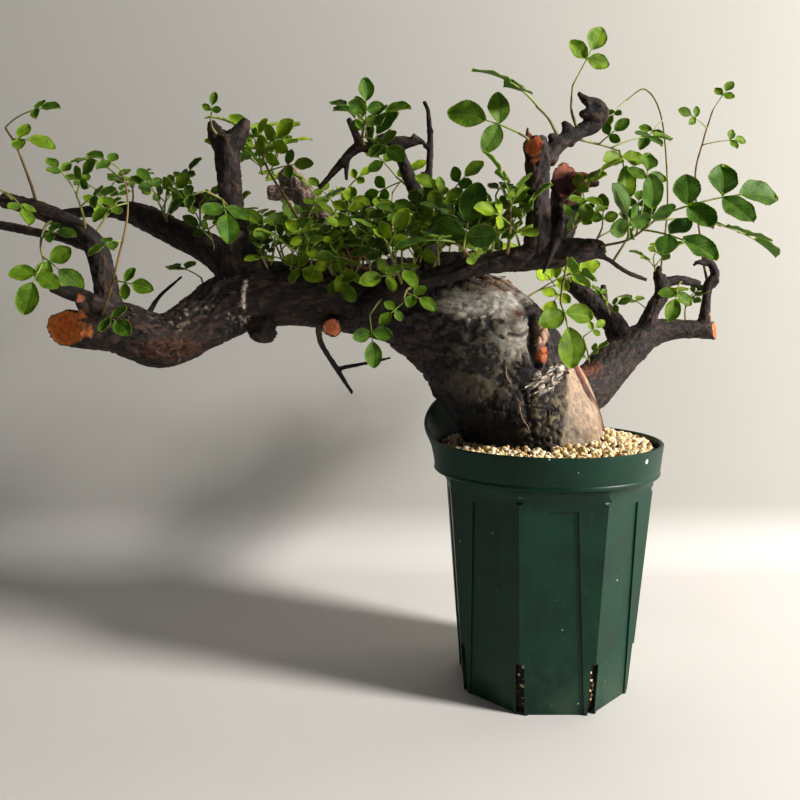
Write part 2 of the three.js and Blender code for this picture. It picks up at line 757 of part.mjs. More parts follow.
// grow thickens it all round, to keep what grows on it clear of the bark.
function woodSolid(grow = 0) {
  const trunkShape = { sides: TRUNK_SIDES, relief: TRUNK_RELIEF, grow, cut: LIMB_CUT };
  const trunk = solidOf(loft(limbRings(TRUNK, trunkShape)));
  const branches = Object.values(BRANCHES).map(({ sides, line, cut }) => {
    const relief = sides > 6 ? BRANCH_RELIEF : 0;
    return solidOf(loft(limbRings(line, { sides, perSpan: 1, relief, grow, cut })));
  });
  return join([trunk, ...branches]);
}

// Leaves

// One leaflet on the plan of a leaf, as a fan about a low point on its midrib. The plan's first axis runs
// along the leaf, its second across and its third out of the blade.
function addLeaflet(plan, faces, { right, left, heading, length, lift, large }, random) {
  const base = plan[right].clone().add(plan[left]).divideScalar(2);
  const forward = [Math.cos(heading), Math.sin(heading)];
  const outlineHalf = large ? LARGE_OUTLINE : SMALL_OUTLINE;
  const point = (along, across, height) =>
    new THREE.Vector3(
      base.x + along * forward[0] - across * forward[1],
      base.y + along * forward[1] + across * forward[0],
      base.z + height + along * lift,
    );
  const sideOf = (sign) =>
    outlineHalf.map(([share, width]) => {
      const wave = 1 + EDGE_WAVE * (random() - 0.5);
      const half = LEAFLET_WIDTH * length * width * wave;
      return plan.push(point(share * length, sign * half, CUP * length)) - 1;
    });
  const rightSide = sideOf(-1);
  const tip = plan.push(point(length, 0, -TIP_DROOP * length)) - 1;
  const leftSide = sideOf(1).reverse();
  const outline = [left, right, ...rightSide, tip, ...leftSide];
  if (large) {
    const rib = plan.push(point(RIB_SHARE * length, 0, 0)) - 1;
    outline.forEach((corner, i) => faces.push([rib, corner, outline[(i + 1) % outline.length]]));
  } else {
    for (let i = 1; i < outline.length - 1; i++) faces.push([outline[0], outline[i], outline[i + 1]]);
  }
}

// The flat plan of a compound leaf: a stalk with leaflets in pairs and one at the end.
function leafPlan({ count, length, reach }, random) {
  const plan = [];
  const faces = [];
  const half = STALK_WIDTH / 2;
  const pairs = (count - 1) / 2;
  const lastPair = reach - END_STALK * length;
  const firstPair = lastPair - (pairs - 1) * PAIR_SPACING * length;
  const stations = [0];
  for (let pair = 0; pair < pairs; pair++) {
    const at = firstPair + pair * PAIR_SPACING * length;
    stations.push(at - half, at + half);
  }
  stations.push(reach - length);
  stations.forEach((u) => plan.push(new THREE.Vector3(u, -half, 0), new THREE.Vector3(u, half, 0)));
  for (let i = 0; i < stations.length - 1; i++) {
    const corner = 2 * i;
    faces.push([corner, corner + 2, corner + 3], [corner, corner + 3, corner + 1]);
  }
  const large = length >= LARGE_LEAFLET;
  for (let pair = 0; pair < pairs; pair++) {
    const corner = 2 + 4 * pair;
    const size = length * (PAIR_SIZE + 0.1 * random() + 0.06 * pair);
    const spread = PAIR_SPREAD + 0.2 * random();
    const lift = 0.35 * (random() - 0.35);
    const onLeft = { left: corner + 1, right: corner + 3, heading: spread, length: size, lift, large };
    const onRight = { left: corner + 2, right: corner, heading: -spread, length: size, lift, large };
    addLeaflet(plan, faces, onLeft, random);
    addLeaflet(plan, faces, onRight, random);
  }
  const end = 2 * stations.length - 2;
  addLeaflet(plan, faces, { right: end, left: end + 1, heading: 0, length, lift: 0, large }, random);
  return { plan, faces };
}

// A leaf of one even thickness from its root to the tip of its end leaflet, arched over its length.
function leafSolid({ from, to, face, count, length }, random) {
  const chord = to.clone().sub(from);
  const distance = chord.length();
  const along = chord.divideScalar(distance);
  const up = face.clone().addScaledVector(along, -face.dot(along)).normalize();
  up.applyAxisAngle(along, LEAF_ROLL * (random() - 0.5));
  const across = new THREE.Vector3().crossVectors(up, along);
  const half = LEAF_ARCH / 2;
  const reach = (distance * half) / Math.sin(half);
  const start = along.clone().multiplyScalar(Math.cos(half)).addScaledVector(up, Math.sin(half));
  const startUp = up.clone().multiplyScalar(Math.cos(half)).addScaledVector(along, -Math.sin(half));
  const radius = reach / LEAF_ARCH;
  const place = ({ x, y, z }, thickness) => {
    const turn = (LEAF_ARCH * x) / reach;
    const height = z + thickness;
    return from.clone()
      .addScaledVector(start, radius * Math.sin(turn) + height * Math.sin(turn))
      .addScaledVector(startUp, -radius * (1 - Math.cos(turn)) + height * Math.cos(turn))
      .addScaledVector(across, y);
  };
  const { plan, faces } = leafPlan({ count, length, reach }, random);
  return solidOf(slab(plan, faces, place));
}

// Thickens a plan of faces: the same triangles below and above, and a wall along each free edge.
function slab(plan, faces, place) {
  const points = [0, BLADE].flatMap((thickness) => plan.map((point) => place(point, thickness)));
  const above = plan.length;
  const edges = new Set(faces.flatMap(([a, b, c]) => [`${a},${b}`, `${b},${c}`, `${c},${a}`]));
  const triangles = [];
  for (const [a, b, c] of faces) {
    triangles.push(a, c, b);
    triangles.push(a + above, b + above, c + above);
  }
  for (const edge of edges) {
    const [a, b] = edge.split(",").map(Number);
    if (edges.has(`${b},${a}`)) continue;
    triangles.push(a, b, b + above);
    triangles.push(a, b + above, a + above);
  }
  return new THREE.BufferGeometry().setFromPoints(points).setIndex(triangles);
}

// Where a leaf leaves its stem, for a share of the way along it.
function alongStem(points, share) {
  const place = share * (points.length - 1);
  const span = Math.min(Math.floor(place), points.length - 2);
  return points[span].clone().lerp(points[span + 1], place - span);
}

function shootSolid(shoot, index) {
  const random = randomStream(100 + index);
  const points = shoot.stem.map(([x, y, z]) => new THREE.Vector3(x, y, z));
  const leaves = shoot.leaves.map(([share, x, y, z, count, length, face]) => {
    const from = alongStem(points, share);
    const to = new THREE.Vector3(x, y, z);
    return leafSolid({ from, to, face, count, length }, random);
  });
  const line = shoot.stem.map(([x, y, z], i) => {
    const taper = 1 - (STEM_TAPER * i) / (points.length - 1);
    return [x, y, z, shoot.radius * taper];
  });
  const stem = solidOf(loft(limbRings(line, { sides: STEM_SIDES, perSpan: 1 })));
  return join([stem, ...leaves]);
}

// The object

function meshOf(name, solid, material) {
  const { vertProperties, triVerts } = solid.getMesh();
  const geometry = new THREE.BufferGeometry();
  geometry.setAttribute("position", new THREE.BufferAttribute(vertProperties, 3));
  geometry.setIndex(new THREE.BufferAttribute(triVerts, 1));
  geometry.computeVertexNormals();
  const mesh = new THREE.Mesh(geometry, material);
  mesh.name = name;
  return mesh;
}

const potPlastic = new THREE.MeshStandardMaterial({ color: 0x1f4a3a, roughness: 0.5, metalness: 0 });
const gravelStone = new THREE.MeshStandardMaterial({ color: 0xc9b086, roughness: 0.95, metalness: 0 });
const bark = new THREE.MeshStandardMaterial({ color: 0x5a4c40, roughness: 0.85, metalness: 0 });
const leafGreen = new THREE.MeshStandardMaterial({ color: 0x5d8f2b, roughness: 0.55, metalness: 0 });

const tree = new THREE.Group();
tree.add(meshOf("pot", potSolid(), potPlastic));

const buried = { sides: TRUNK_SIDES, relief: TRUNK_RELIEF, grow: GAP };
const trunkHole = solidOf(loft(limbRings(TRUNK.slice(0, 4), buried)));
tree.add(meshOf("gravel", gravelSolid(trunkHole), gravelStone));
tree.add(meshOf("trunk", woodSolid(), bark));

const clearOfBark = woodSolid(GAP);
SHOOTS.forEach((shoot, index) => {
  const solid = shootSolid(shoot, index).subtract(clearOfBark);
  tree.add(meshOf(`shoot_${shoot.name}`, solid, leafGreen));
});

export default tree;
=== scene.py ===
"""A commiphora bonsai in a plastic nursery pot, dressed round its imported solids.

Shapes are in millimetres, +Z up, with the origin at the centre of the pot's underside. A mesh is scaled to
metres when its object is made. Materials, lights and camera are in metres. The tree is seen from -Y.
"""
import math

import bmesh
import bpy
import numpy as np
from mathutils import Matrix, Vector


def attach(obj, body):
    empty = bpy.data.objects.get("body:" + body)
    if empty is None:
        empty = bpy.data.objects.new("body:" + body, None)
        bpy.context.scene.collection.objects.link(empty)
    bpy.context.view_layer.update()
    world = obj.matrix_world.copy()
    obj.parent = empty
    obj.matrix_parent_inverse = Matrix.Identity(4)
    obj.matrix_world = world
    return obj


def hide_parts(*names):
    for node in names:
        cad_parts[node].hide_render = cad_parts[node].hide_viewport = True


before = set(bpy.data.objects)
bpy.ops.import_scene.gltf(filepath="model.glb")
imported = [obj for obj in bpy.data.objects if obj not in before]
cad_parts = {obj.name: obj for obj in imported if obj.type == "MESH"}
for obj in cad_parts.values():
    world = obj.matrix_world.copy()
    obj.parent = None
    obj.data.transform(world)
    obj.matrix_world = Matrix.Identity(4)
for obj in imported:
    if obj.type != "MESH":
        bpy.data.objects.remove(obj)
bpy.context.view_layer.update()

MM = 0.001
ROOT = "root"

# Pot, as in the solids
POT_HEIGHT = 132
RIM_RADIUS = 60
BAND_HEIGHT = 17.5
BAND_TAPER = 1.2
BODY_TOP_RADIUS = 55.8
BODY_BASE_RADIUS = 46.6
BODY_TOP = POT_HEIGHT - BAND_HEIGHT
LEDGE = 2
WALL = 1.9
FLOOR = 2.4
SIDES = 8
PANEL_DEPTH = 0.8
PANEL_TOP_WIDTH = 14
PANEL_BASE_WIDTH = 28
PANEL_TOP_Z = 105
SLIT_WIDTH = 4.2
SLIT_HEIGHT = 27
LIP_ANGLE = math.radians(-125)
LIP_SPREAD = math.radians(21)
LIP_RISE = 20
FLARE_ANGLE = math.radians(-108)
FLARE_SPREAD = math.radians(16)
LIP_FLARE = 6

# Leaves, as in the solids
STALK_WIDTH = 1.0
LEAF_ARCH = 0.7
LEAF_ROLL = 0.7
LEAFLET_WIDTH = 0.34
CUP = 0.07
TIP_DROOP = 0.035
LARGE_LEAFLET = 15
END_STALK = 1.35
PAIR_SPACING = 0.72
PAIR_SIZE = 0.72
PAIR_SPREAD = 1.15

# The ways that the upper face of a leaf looks
UP = (0.15, -0.45, 0.88)
FRONT = (0.1, -0.88, 0.46)
SIDE = (0.8, -0.55, 0.2)

# Wood: [x, y, z, radius] along the trunk with its long limb, and along each branch. It is as in the solids
# but for the end of the mast, which is lower between two horns, and the hook, which is bent more.
TRUNK = [
    [0, 5, 86, 30], [-1, 4, 128, 34], [-15, 3, 152, 35], [-35, 0, 183, 34.5], [-71, -4, 201, 24],
    [-99, -8, 205, 18], [-127, -13, 208, 16.4], [-154, -19, 205, 16], [-175, -25, 193, 13.9],
    [-192, -31, 185, 13], [-210, -37, 190, 12.5], [-223, -43, 190, 9], [-232, -47, 191, 8.4],
]

BRANCHES = {
    "backFork": [[-154, -16, 209, 12], [-165, -6, 223, 9], [-179, 6, 232, 8], [-200, 20, 242, 7.2],
        [-221, 32, 252, 6.8], [-240, 42, 256, 4.5], [-259, 50, 256, 3.2], [-282, 56, 255, 2.6]],
    "riser": [[-214, -38, 195, 6.5], [-216, -37, 209, 5.6], [-219, -36, 224, 5.3], [-223, -36, 233, 5],
        [-233, -37, 240, 4.6], [-244, -38, 245, 4.2], [-256, -39, 249, 3.8], [-262, -40, 250, 3.8]],
    "rearTwig": [[-221, -34, 228, 3], [-245, -18, 235, 2.2], [-268, -10, 240, 2.4], [-284, -6, 243, 2.4]],
    "frontSpur": [[-214, -42, 198, 5], [-223, -46, 205, 3.8], [-232, -48, 208, 3], [-237, -49, 210, 2.4]],
    "pinkStub": [[-221, -46, 196, 3.4], [-223, -51, 204, 2.6]],
    "mast": [[-156, -20, 209, 9], [-157, -24, 228, 7], [-158, -25, 245, 6.1], [-159, -25, 264, 5.8],
        [-160, -25, 280, 6.2], [-160, -25, 281, 6.2]],
    "rearStub": [[-147, -12, 213, 6], [-153, 8, 229, 5.2], [-161, 20, 244, 4.6], [-178, 26, 257, 4.3],
        [-200, 28, 261, 4.5]],
    "rearKnob": [[-102, -4, 210, 11], [-109, 18, 225, 9], [-120, 42, 246, 7.6], [-133, 58, 266, 7.2],
        [-144, 66, 281, 7]],
    "rearKnobSide": [[-136, 60, 269, 5], [-155, 64, 269, 4.4]],
    "centralTwig": [[-62, -14, 219, 6], [-65, -15, 241, 4.2], [-70, -16, 258, 3.6], [-74, -18, 268, 3.1],
        [-79, -20, 278, 2.9], [-85, -20, 282, 2.6], [-90, -20, 278, 2.6], [-97, -20, 278, 2.6],
        [-103, -20, 273, 2.3], [-110, -18, 266, 1.7], [-117, -16, 259, 1.2]],
    "centralSpike": [[-82, -20, 280, 2.6], [-74, -20, 280, 3.2], [-69, -20, 280, 0.8]],
    "centralUpSpur": [[-96, -20, 278, 2.2], [-98, -21, 283, 1.9], [-102, -22, 291, 1.3]],
    "centralDownSpur": [[-103, -20, 273, 1.6], [-103, -21, 262, 1.0]],
    "uprightTwig": [[-65, -15, 246, 2.6], [-63, -14, 264, 2.0], [-62, -13, 280, 1.7], [-63, -9, 297, 1.3],
        [-65, -6, 303, 1.2]],
    "frontBranch": [[-93, -22, 202, 6], [-77, -38, 208, 4.9], [-59, -46, 215, 4.6], [-38, -50, 220, 4.8],
        [-18, -52, 223, 6], [-2, -52, 225, 6], [12, -50, 227, 4.4], [16, -49, 227, 2.5]],
    "tallStub": [[-15, -52, 224, 6.2], [-15, -53, 237, 5.7], [-16, -54, 252, 5.3], [-16, -55, 265, 5.5],
        [-18, -57, 273, 5.6]],
    "tallStubCut": [[-16, -54, 270, 5], [-19, -61, 270, 4.7]],
    "limbKnob": [[-111, -16, 193, 5.2], [-110, -30, 191, 4.8]],
    "hook": [[-12, -53, 265, 4.4], [-8, -51, 271, 4], [-2, -49, 275.6, 3.5], [5, -47, 279.6, 3.5],
        [11, -46, 283, 4], [13, -46, 287.5, 4.2], [11.2, -46, 291.4, 3], [6.5, -46, 293, 1.8]],
    "wideStub": [[-5, -46, 225, 6.4], [-2, -38, 235, 7], [0, -36, 245, 7.3], [1, -36, 259, 7]],
    "hangingSpur": [[-3, -48, 239, 1.8], [-9, -60, 226, 1.4], [-14, -61, 215, 0.9]],
    "rightTwig": [[4, -52, 225, 3], [16, -50, 223, 1.8], [26, -48, 217, 1.6], [37, -46, 213, 1.5]],
    "rightLimb": [[-6, 14, 148, 17], [12, 34, 150, 15], [36, 58, 153, 13.5], [54, 74, 167, 12.8],
        [69, 82, 178, 11.4], [84, 86, 186, 8], [104, 88, 188, 6], [124, 90, 187, 5.8]],
    "rightInnerStub": [[66, 82, 176, 9], [57, 86, 193, 7], [47, 88, 203, 6], [36, 90, 213, 5.3],
        [29, 92, 219, 4.5]],
    "rightThinSpur": [[52, 87, 199, 3], [51, 87, 216, 2]],
    "rightRiser": [[77, 84, 184, 6.5], [81, 84, 199, 4.8], [87, 84, 211, 4.6], [85, 84, 222, 4]],
    "rightBridge": [[86, 84, 216, 3.6], [99, 86, 219, 3], [112, 88, 216, 2.6]],
    "rightMast": [[116, 89, 189, 4], [117, 89, 206, 3], [118, 89, 216, 3], [122, 89, 222, 3],
        [119, 89, 229, 2.6], [114, 89, 233, 1.8]],
    "underTwig": [[-116, -6, 201, 3.4], [-122, 28, 184, 2.2], [-113, 42, 165, 2], [-105, 48, 151, 1.4]],
    "underSideTwig": [[-113, 42, 166, 1.8], [-97, 46, 169, 1.5], [-82, 50, 172, 1.1]],
    "limbTwig": [[-202, -30, 192, 3], [-200, -8, 206, 2], [-192, 6, 217, 1.4]],
}

# The ways that cut faces look, where they aren't square to the wood
CUTS = {
    "trunk": [-0.35, -0.93, 0.1],
    "rearStub": [-0.85, -0.5, 0.1],
    "tallStub": [-0.3, 0.2, 0.93],
    "wideStub": [0.2, -0.82, 0.53],
    "rightLimb": [0.85, -0.52, 0.1],
}

# Leafy shoots, as in the solids, and how yellow they are: (name, radius, yellowness, stem, leaves). The
# yellowness is partly the leaves' own colour and partly painted light, higher for leaves that stand in the
# light. A leaf is [share of the way along the stem, tip x, y, z, leaflets, length of its end leaflet, the
# way it faces].
SHOOTS = [
    ("far_left", 1.1, 0.3, [[-241, -38, 245], [-246, -38, 248], [-249, -37, 257], [-255, -36, 274],
     [-260, -36, 283]],
     [[0.86, -239, -32, 275, 3, 12, FRONT], [1, -230, -46, 290, 3, 9, FRONT]]),
    ("left_edge", 0.9, 0.4, [[-256, -39, 249], [-256, -48, 252], [-259, -54, 255]],
     [[1, -263, -56, 267, 3, 8, FRONT], [0.5, -240, -60, 236, 3, 9, UP]]),
    ("left_hanging", 1.0, 0.12, [[-237, -37, 242], [-240, -44, 238], [-241, -48, 229], [-239, -50, 221]],
     [[0.9, -224, -44, 208, 3, 14, FRONT], [1, -244, -62, 197, 3, 15, FRONT],
      [0.5, -225, -46, 233, 3, 9, FRONT]]),
    ("left_crown", 0.9, 0.35, [[-225, -36, 234], [-223, -42, 240], [-223, -46, 247], [-225, -46, 253]],
     [[1, -239, -42, 268, 3, 8, UP], [0.85, -211, -56, 265, 3, 9, FRONT],
      [0.6, -203, -54, 252, 3, 9, FRONT]]),
    ("left_twig", 1.4, 0.25, [[-217, -44, 194], [-210, -52, 204], [-204, -54, 221], [-200, -52, 239],
     [-200, -50, 252], [-203, -48, 262]],
     [[1, -219, -46, 269, 3, 9, FRONT], [0.88, -234, -20, 271, 3, 9, UP],
      [0.72, -213, -58, 238, 3, 9, FRONT], [0.5, -215, -60, 223, 3, 9, UP],
      [0.1, -196, -64, 188, 3, 11, FRONT], [0.3, -187, -58, 208, 3, 10, FRONT]]),
    ("limb_back_fork", 1.0, 0.35, [[-200, 20, 242], [-202, 14, 249], [-204, 8, 257]],
     [[1, -214, 10, 273, 3, 9, UP], [0.7, -184, -2, 268, 3, 10, FRONT], [0.4, -183, 20, 280, 3, 9, UP]]),
    ("limb_back_end", 1.0, 0.4, [[-240, 42, 256], [-243, 38, 260], [-246, 34, 266]],
     [[1, -263, 34, 273, 3, 9, UP], [0.55, -231, 48, 280, 3, 9, UP]]),
    ("mast_front", 1.0, 0.12, [[-158, -25, 246], [-161, -34, 251], [-167, -40, 254]],
     [[1, -185, -36, 244, 3, 11, FRONT], [0.5, -155, -50, 229, 3, 15, FRONT]]),
    ("mast_top", 0.9, 0.15, [[-162, -26, 280], [-165, -31, 284], [-165, -35, 287]],
     [[1, -162, -36, 299, 3, 6, FRONT]]),
    ("long_shoot", 1.2, 0.45, [[-109, -16, 212], [-112, -26, 221], [-121, -24, 234], [-132, -14, 252],
     [-144, 0, 270], [-150, 6, 284]],
     [[0.25, -98, -44, 203, 3, 10, FRONT], [1, -165, 6, 299, 3, 12, FRONT],
      [0.93, -129, 12, 296, 3, 12, UP], [0.8, -120, -10, 272, 3, 10, FRONT],
      [0.86, -159, -14, 273, 3, 10, FRONT], [0.5, -141, -32, 241, 3, 10, FRONT]]),
    ("limb_top_left", 1.0, 0.5, [[-132, -14, 212], [-134, -22, 222], [-137, -28, 231]],
     [[1, -152, -28, 246, 3, 11, UP], [0.75, -114, -46, 236, 3, 10, UP],
      [0.5, -113, -40, 213, 3, 12, FRONT], [0.6, -150, -38, 222, 3, 9, UP]]),
    ("back_knob", 1.0, 0.45, [[-122, 44, 249], [-124, 34, 254], [-123, 26, 260]],
     [[1, -138, 24, 274, 3, 10, UP], [0.5, -106, 20, 264, 3, 11, UP]]),
    ("limb_top_mid", 1.1, 0.55, [[-101, -20, 211], [-100, -28, 221], [-103, -32, 230], [-104, -33, 236]],
     [[1, -118, -34, 250, 3, 11, UP], [0.85, -100, -22, 258, 3, 10, FRONT],
      [0.62, -82, -28, 239, 3, 11, UP], [0.4, -116, -46, 223, 3, 10, FRONT]]),
    ("front_fork", 1.0, 0.5, [[-75, -39, 209], [-78, -50, 216], [-81, -54, 224], [-83, -55, 229]],
     [[1, -98, -58, 239, 3, 10, UP], [0.85, -73, -62, 243, 3, 11, FRONT],
      [0.5, -70, -66, 209, 3, 11, FRONT], [0.3, -95, -62, 211, 3, 11, FRONT]]),
    ("front_hanging", 0.9, 0.12, [[-85, -31, 206], [-87, -42, 203], [-91, -50, 197]],
     [[1, -89, -54, 173, 3, 12, FRONT]]),
    ("front_hanging_small", 0.9, 0.25, [[-71, -41, 210], [-74, -54, 208], [-76, -58, 202]],
     [[1, -86, -60, 193, 3, 7, FRONT], [0.6, -61, -60, 199, 3, 9, FRONT]]),
    ("central_crown", 1.1, 0.2, [[-94, -20, 278], [-95, -28, 280], [-94, -35, 283], [-93, -38, 286]],
     [[0.92, -110, -24, 297, 3, 11, FRONT], [1, -93, -38, 305, 3, 11, FRONT],
      [0.75, -72, -46, 290, 3, 12, FRONT], [0.4, -75, -50, 266, 3, 11, FRONT]]),
    ("central_back", 1.0, 0.5, [[-68, -15, 255], [-74, -2, 263], [-79, 10, 269]],
     [[1, -95, 22, 286, 3, 12, FRONT], [0.7, -95, 14, 257, 3, 11, FRONT]]),
    ("central_right", 1.0, 0.5, [[-64, -15, 236], [-59, -26, 242], [-55, -32, 247], [-54, -33, 252]],
     [[1, -38, -36, 268, 3, 11, FRONT], [0.85, -70, -38, 261, 3, 10, FRONT],
      [0.6, -40, -46, 243, 3, 10, FRONT]]),
    ("front_left_leaves", 1.1, 0.15, [[-43, -50, 219], [-48, -60, 225], [-53, -66, 228]],
     [[1, -80, -72, 224, 3, 16, UP], [0.6, -43, -66, 254, 3, 18, FRONT]]),
    ("front_mid_leaves", 1.1, 0.5, [[-29, -51, 222], [-29, -60, 228], [-29, -64, 237], [-29, -64, 244]],
     [[1, -42, -73, 265, 3, 11, UP], [0.85, -22, -78, 255, 3, 10, UP], [0.62, -46, -76, 242, 3, 10, FRONT],
      [0.42, -20, -80, 230, 3, 10, FRONT]]),
    ("stub_leaf", 1.0, 0.35, [[-18, -57, 270], [-22, -62, 273], [-26, -63, 275]],
     [[1, -57, -66, 283, 3, 17, FRONT]]),
    ("hook_leaf", 0.9, 0.4, [[2, -49, 281], [0, -47, 289], [1, -44, 300]],
     [[1, 15, -38, 327, 3, 14, FRONT]]),
    ("hook_left_leaf", 1.0, 0.35, [[-6, -51, 275], [-12, -58, 282], [-18, -60, 287]],
     [[1, -47, -70, 299, 3, 18, UP]]),
    ("hook_right", 0.9, 0.45, [[-3, -50, 277], [6, -44, 276], [17, -38, 275], [25, -36, 273]],
     [[0.6, 27, -44, 285, 3, 8, FRONT], [1, 27, -40, 250, 3, 15, FRONT], [0.85, 53, -24, 280, 3, 12, UP]]),
    ("right_shoot", 1.4, 0.15, [[11, -51, 227], [15, -54, 228], [24, -58, 230], [31, -60, 235],
     [37, -60, 240]],
     [[0.5, 14, -68, 253, 3, 15, FRONT], [0.8, 28, -74, 256, 3, 15, FRONT], [1, 91, -56, 250, 5, 21, FRONT],
      [0.9, 99, -40, 224, 5, 16, UP], [0.7, 57, -76, 220, 3, 17, FRONT], [0.62, 37, -40, 270, 3, 12, UP]]),
    ("right_back_leaf", 0.9, 0.25, [[100, 86, 218], [95, 76, 216], [91, 68, 212]],
     [[1, 84, 62, 193, 3, 14, FRONT]]),
    ("stub_right", 1.0, 0.5, [[3, -34, 253], [6, -44, 254], [8, -50, 256]],
     [[1, 22, -56, 264, 3, 10, UP], [0.5, 4, -62, 237, 3, 10, FRONT]]),
    ("trunk_hanging", 1.0, 0.4, [[-2, -52, 225], [-4, -64, 219], [-7, -70, 209], [-8, -72, 202]],
     [[1, -3, -76, 174, 3, 18, FRONT], [0.5, 3, -84, 211, 3, 11, SIDE]]),
    ("back_upright", 1.0, 0.95, [[32, 91, 216], [27, 80, 221], [21, 70, 225]],
     [[1, 45, 58, 234, 3, 14, FRONT], [0.75, -5, 52, 225, 3, 13, FRONT], [0.5, 11, 66, 194, 3, 13, FRONT]]),
    ("front_tip", 0.9, 0.45, [[10, -49, 227], [14, -44, 232], [17, -40, 237]],
     [[1, 17, -38, 253, 3, 9, UP], [0.5, 36, -24, 238, 3, 9, UP]]),
    ("far_right_shoot", 1.1, 0.4, [[118, 89, 214], [117, 100, 239], [114, 108, 284], [119, 110, 309],
     [124, 110, 327]],
     [[1, 137, 112, 346, 3, 9, FRONT], [0.85, 100, 104, 327, 3, 9, FRONT],
      [0.72, 147, 112, 309, 3, 9, FRONT]]),
    ("arching_shoot", 1.0, 0.4, [[86, 84, 213], [89, 92, 230], [94, 100, 270], [90, 104, 320],
     [79, 104, 339], [66, 102, 332]],
     [[0.6, 74, 96, 300, 3, 11, UP], [1, 54, 98, 314, 3, 8, UP]]),
    ("limb_rear", 1.0, 0.4, [[-176, -18, 200], [-178, -4, 210], [-182, 8, 216]],
     [[1, -204, 22, 222, 3, 11, UP]]),
    ("trunk_rear", 1.1, 0.4, [[-42, 16, 205], [-44, 32, 216], [-48, 44, 228]],
     [[1, -72, 56, 240, 3, 13, UP], [0.7, -24, 62, 240, 3, 13, UP]]),
    ("right_limb_rear", 1.0, 0.4, [[84, 90, 188], [88, 102, 194], [94, 112, 202]],
     [[1, 118, 124, 214, 3, 12, UP], [0.6, 72, 128, 210, 3, 12, UP]]),
    ("rear_knob_back", 1.0, 0.4, [[-133, 62, 264], [-138, 74, 268], [-142, 84, 274]],
     [[1, -166, 94, 286, 3, 12, UP]]),
    ("trunk_crown", 1.0, 0.4, [[-42, -8, 208], [-42, -10, 222], [-45, -12, 232]],
     [[1, -28, -16, 252, 3, 11, FRONT]]),
]


# Numbers

def random_stream(seed):
    """The repeatable stream of numbers from 0 to 1 that also shapes the solids."""
    whole = 0xFFFFFFFF
    state = seed & whole

    def draw():
        nonlocal state
        state = (state + 0x6D2B79F5) & whole
        mixed = ((state ^ (state >> 15)) * (state | 1)) & whole
        mixed ^= (mixed + (mixed ^ (mixed >> 7)) * (mixed | 61)) & whole
        return (mixed ^ (mixed >> 14)) / 4294967296

    return draw


def srgb(red, green, blue):
    """A colour as a screen shows it, from 0 to 255, as light."""
    return np.array([channel / 255 for channel in (red, green, blue)]) ** 2.2


def unit(vectors):
    vectors = np.asarray(vectors, float)
    return vectors / np.linalg.norm(vectors, axis=-1, keepdims=True)


def rise(low, high, value):
    """0 below low, 1 above high and a smooth step between."""
    share = np.clip((value - low) / (high - low), 0, 1)
    return share * share * (3 - 2 * share)


def scattered(cells, seed):
    """Three repeatable numbers from 0 to 1 for each row of whole numbers."""
    x, y, z = (np.asarray(cells, np.int64) & 0xFFFFFFFF).astype(np.uint32).T
    state = x * np.uint32(73856093) ^ y * np.uint32(19349663) ^ z * np.uint32(83492791)
    state = state ^ np.uint32(seed * 40503 + 977)
    numbers = []
    for _ in range(3):
        state = (state ^ (state >> 16)) * np.uint32(0x7FEB352D)
        state = (state ^ (state >> 15)) * np.uint32(0x846CA68B)
        state = state ^ (state >> 16)
        numbers.append(state / 4294967295.0)
    return np.stack(numbers, axis=1)


def picks_for(count, first, second, seed):
    """Three repeatable numbers from 0 to 1 for each of a count of things."""
    rows = np.column_stack([np.arange(count), np.full(count, first), np.full(count, second)])
    return scattered(rows, seed)


def noise(points, seed=0):
    """Smooth noise from about -1 to 1, with features about one unit apart."""
    base = np.floor(points).astype(np.int64)
    inside = points - base
    fade = inside**3 * (inside * (inside * 6 - 15) + 10)
    total = np.zeros(len(points))
    for corner in np.ndindex(2, 2, 2):
        slope = scattered(base + corner, seed) * 2 - 1
        height = (slope * (inside - corner)).sum(axis=1)
        weight = np.where(corner, fade, 1 - fade).prod(axis=1)
        total += weight * height
    return total * 1.5


def layered(points, octaves=3, seed=0):
    """Noise with finer and weaker layers added."""
    total = sum(noise(points * 2**i, seed + i) * 0.55**i for i in range(octaves))
    return total / sum(0.55**i for i in range(octaves))


def cells(points, seed=0):
    """Distance to the edge of a cell of cracked ground, and a number for each cell."""
    base = np.floor(points).astype(np.int64)
    near = np.full(len(points), 9.0)
    second = near.copy()
    mark = np.zeros(len(points))
    for step in np.ndindex(3, 3, 3):
        cell = base + step - 1
        spot = scattered(cell, seed)
        away = np.linalg.norm(cell + spot - points, axis=1)
        closer = away < near
        second = np.where(closer, near, np.minimum(second, away))
        mark = np.where(closer, spot[:, 0], mark)
        near = np.where(closer, away, near)
    return second - near, mark


def spline(points, at, extend=True):
    """A smooth line through rows of points, and its slope, at places counted in points."""
    points = np.asarray(points, float)
    first = 2 * points[0] - points[1] if extend else points[0]
    last = 2 * points[-1] - points[-2] if extend else points[-1]
    full = np.vstack([first, points, last])
    span = np.clip(np.floor(at).astype(int), 0, len(points) - 2)
    t = (at - span)[:, None]
    p0, p1, p2, p3 = (full[span + i] for i in range(4))
    out, into = (p2 - p0) / 2, (p3 - p1) / 2
    cube = 2 * p1 - 2 * p2 + out + into
    square = 3 * p2 - 3 * p1 - 2 * out - into
    return cube * t**3 + square * t**2 + out * t + p1, 3 * cube * t**2 + 2 * square * t + out


# Meshes

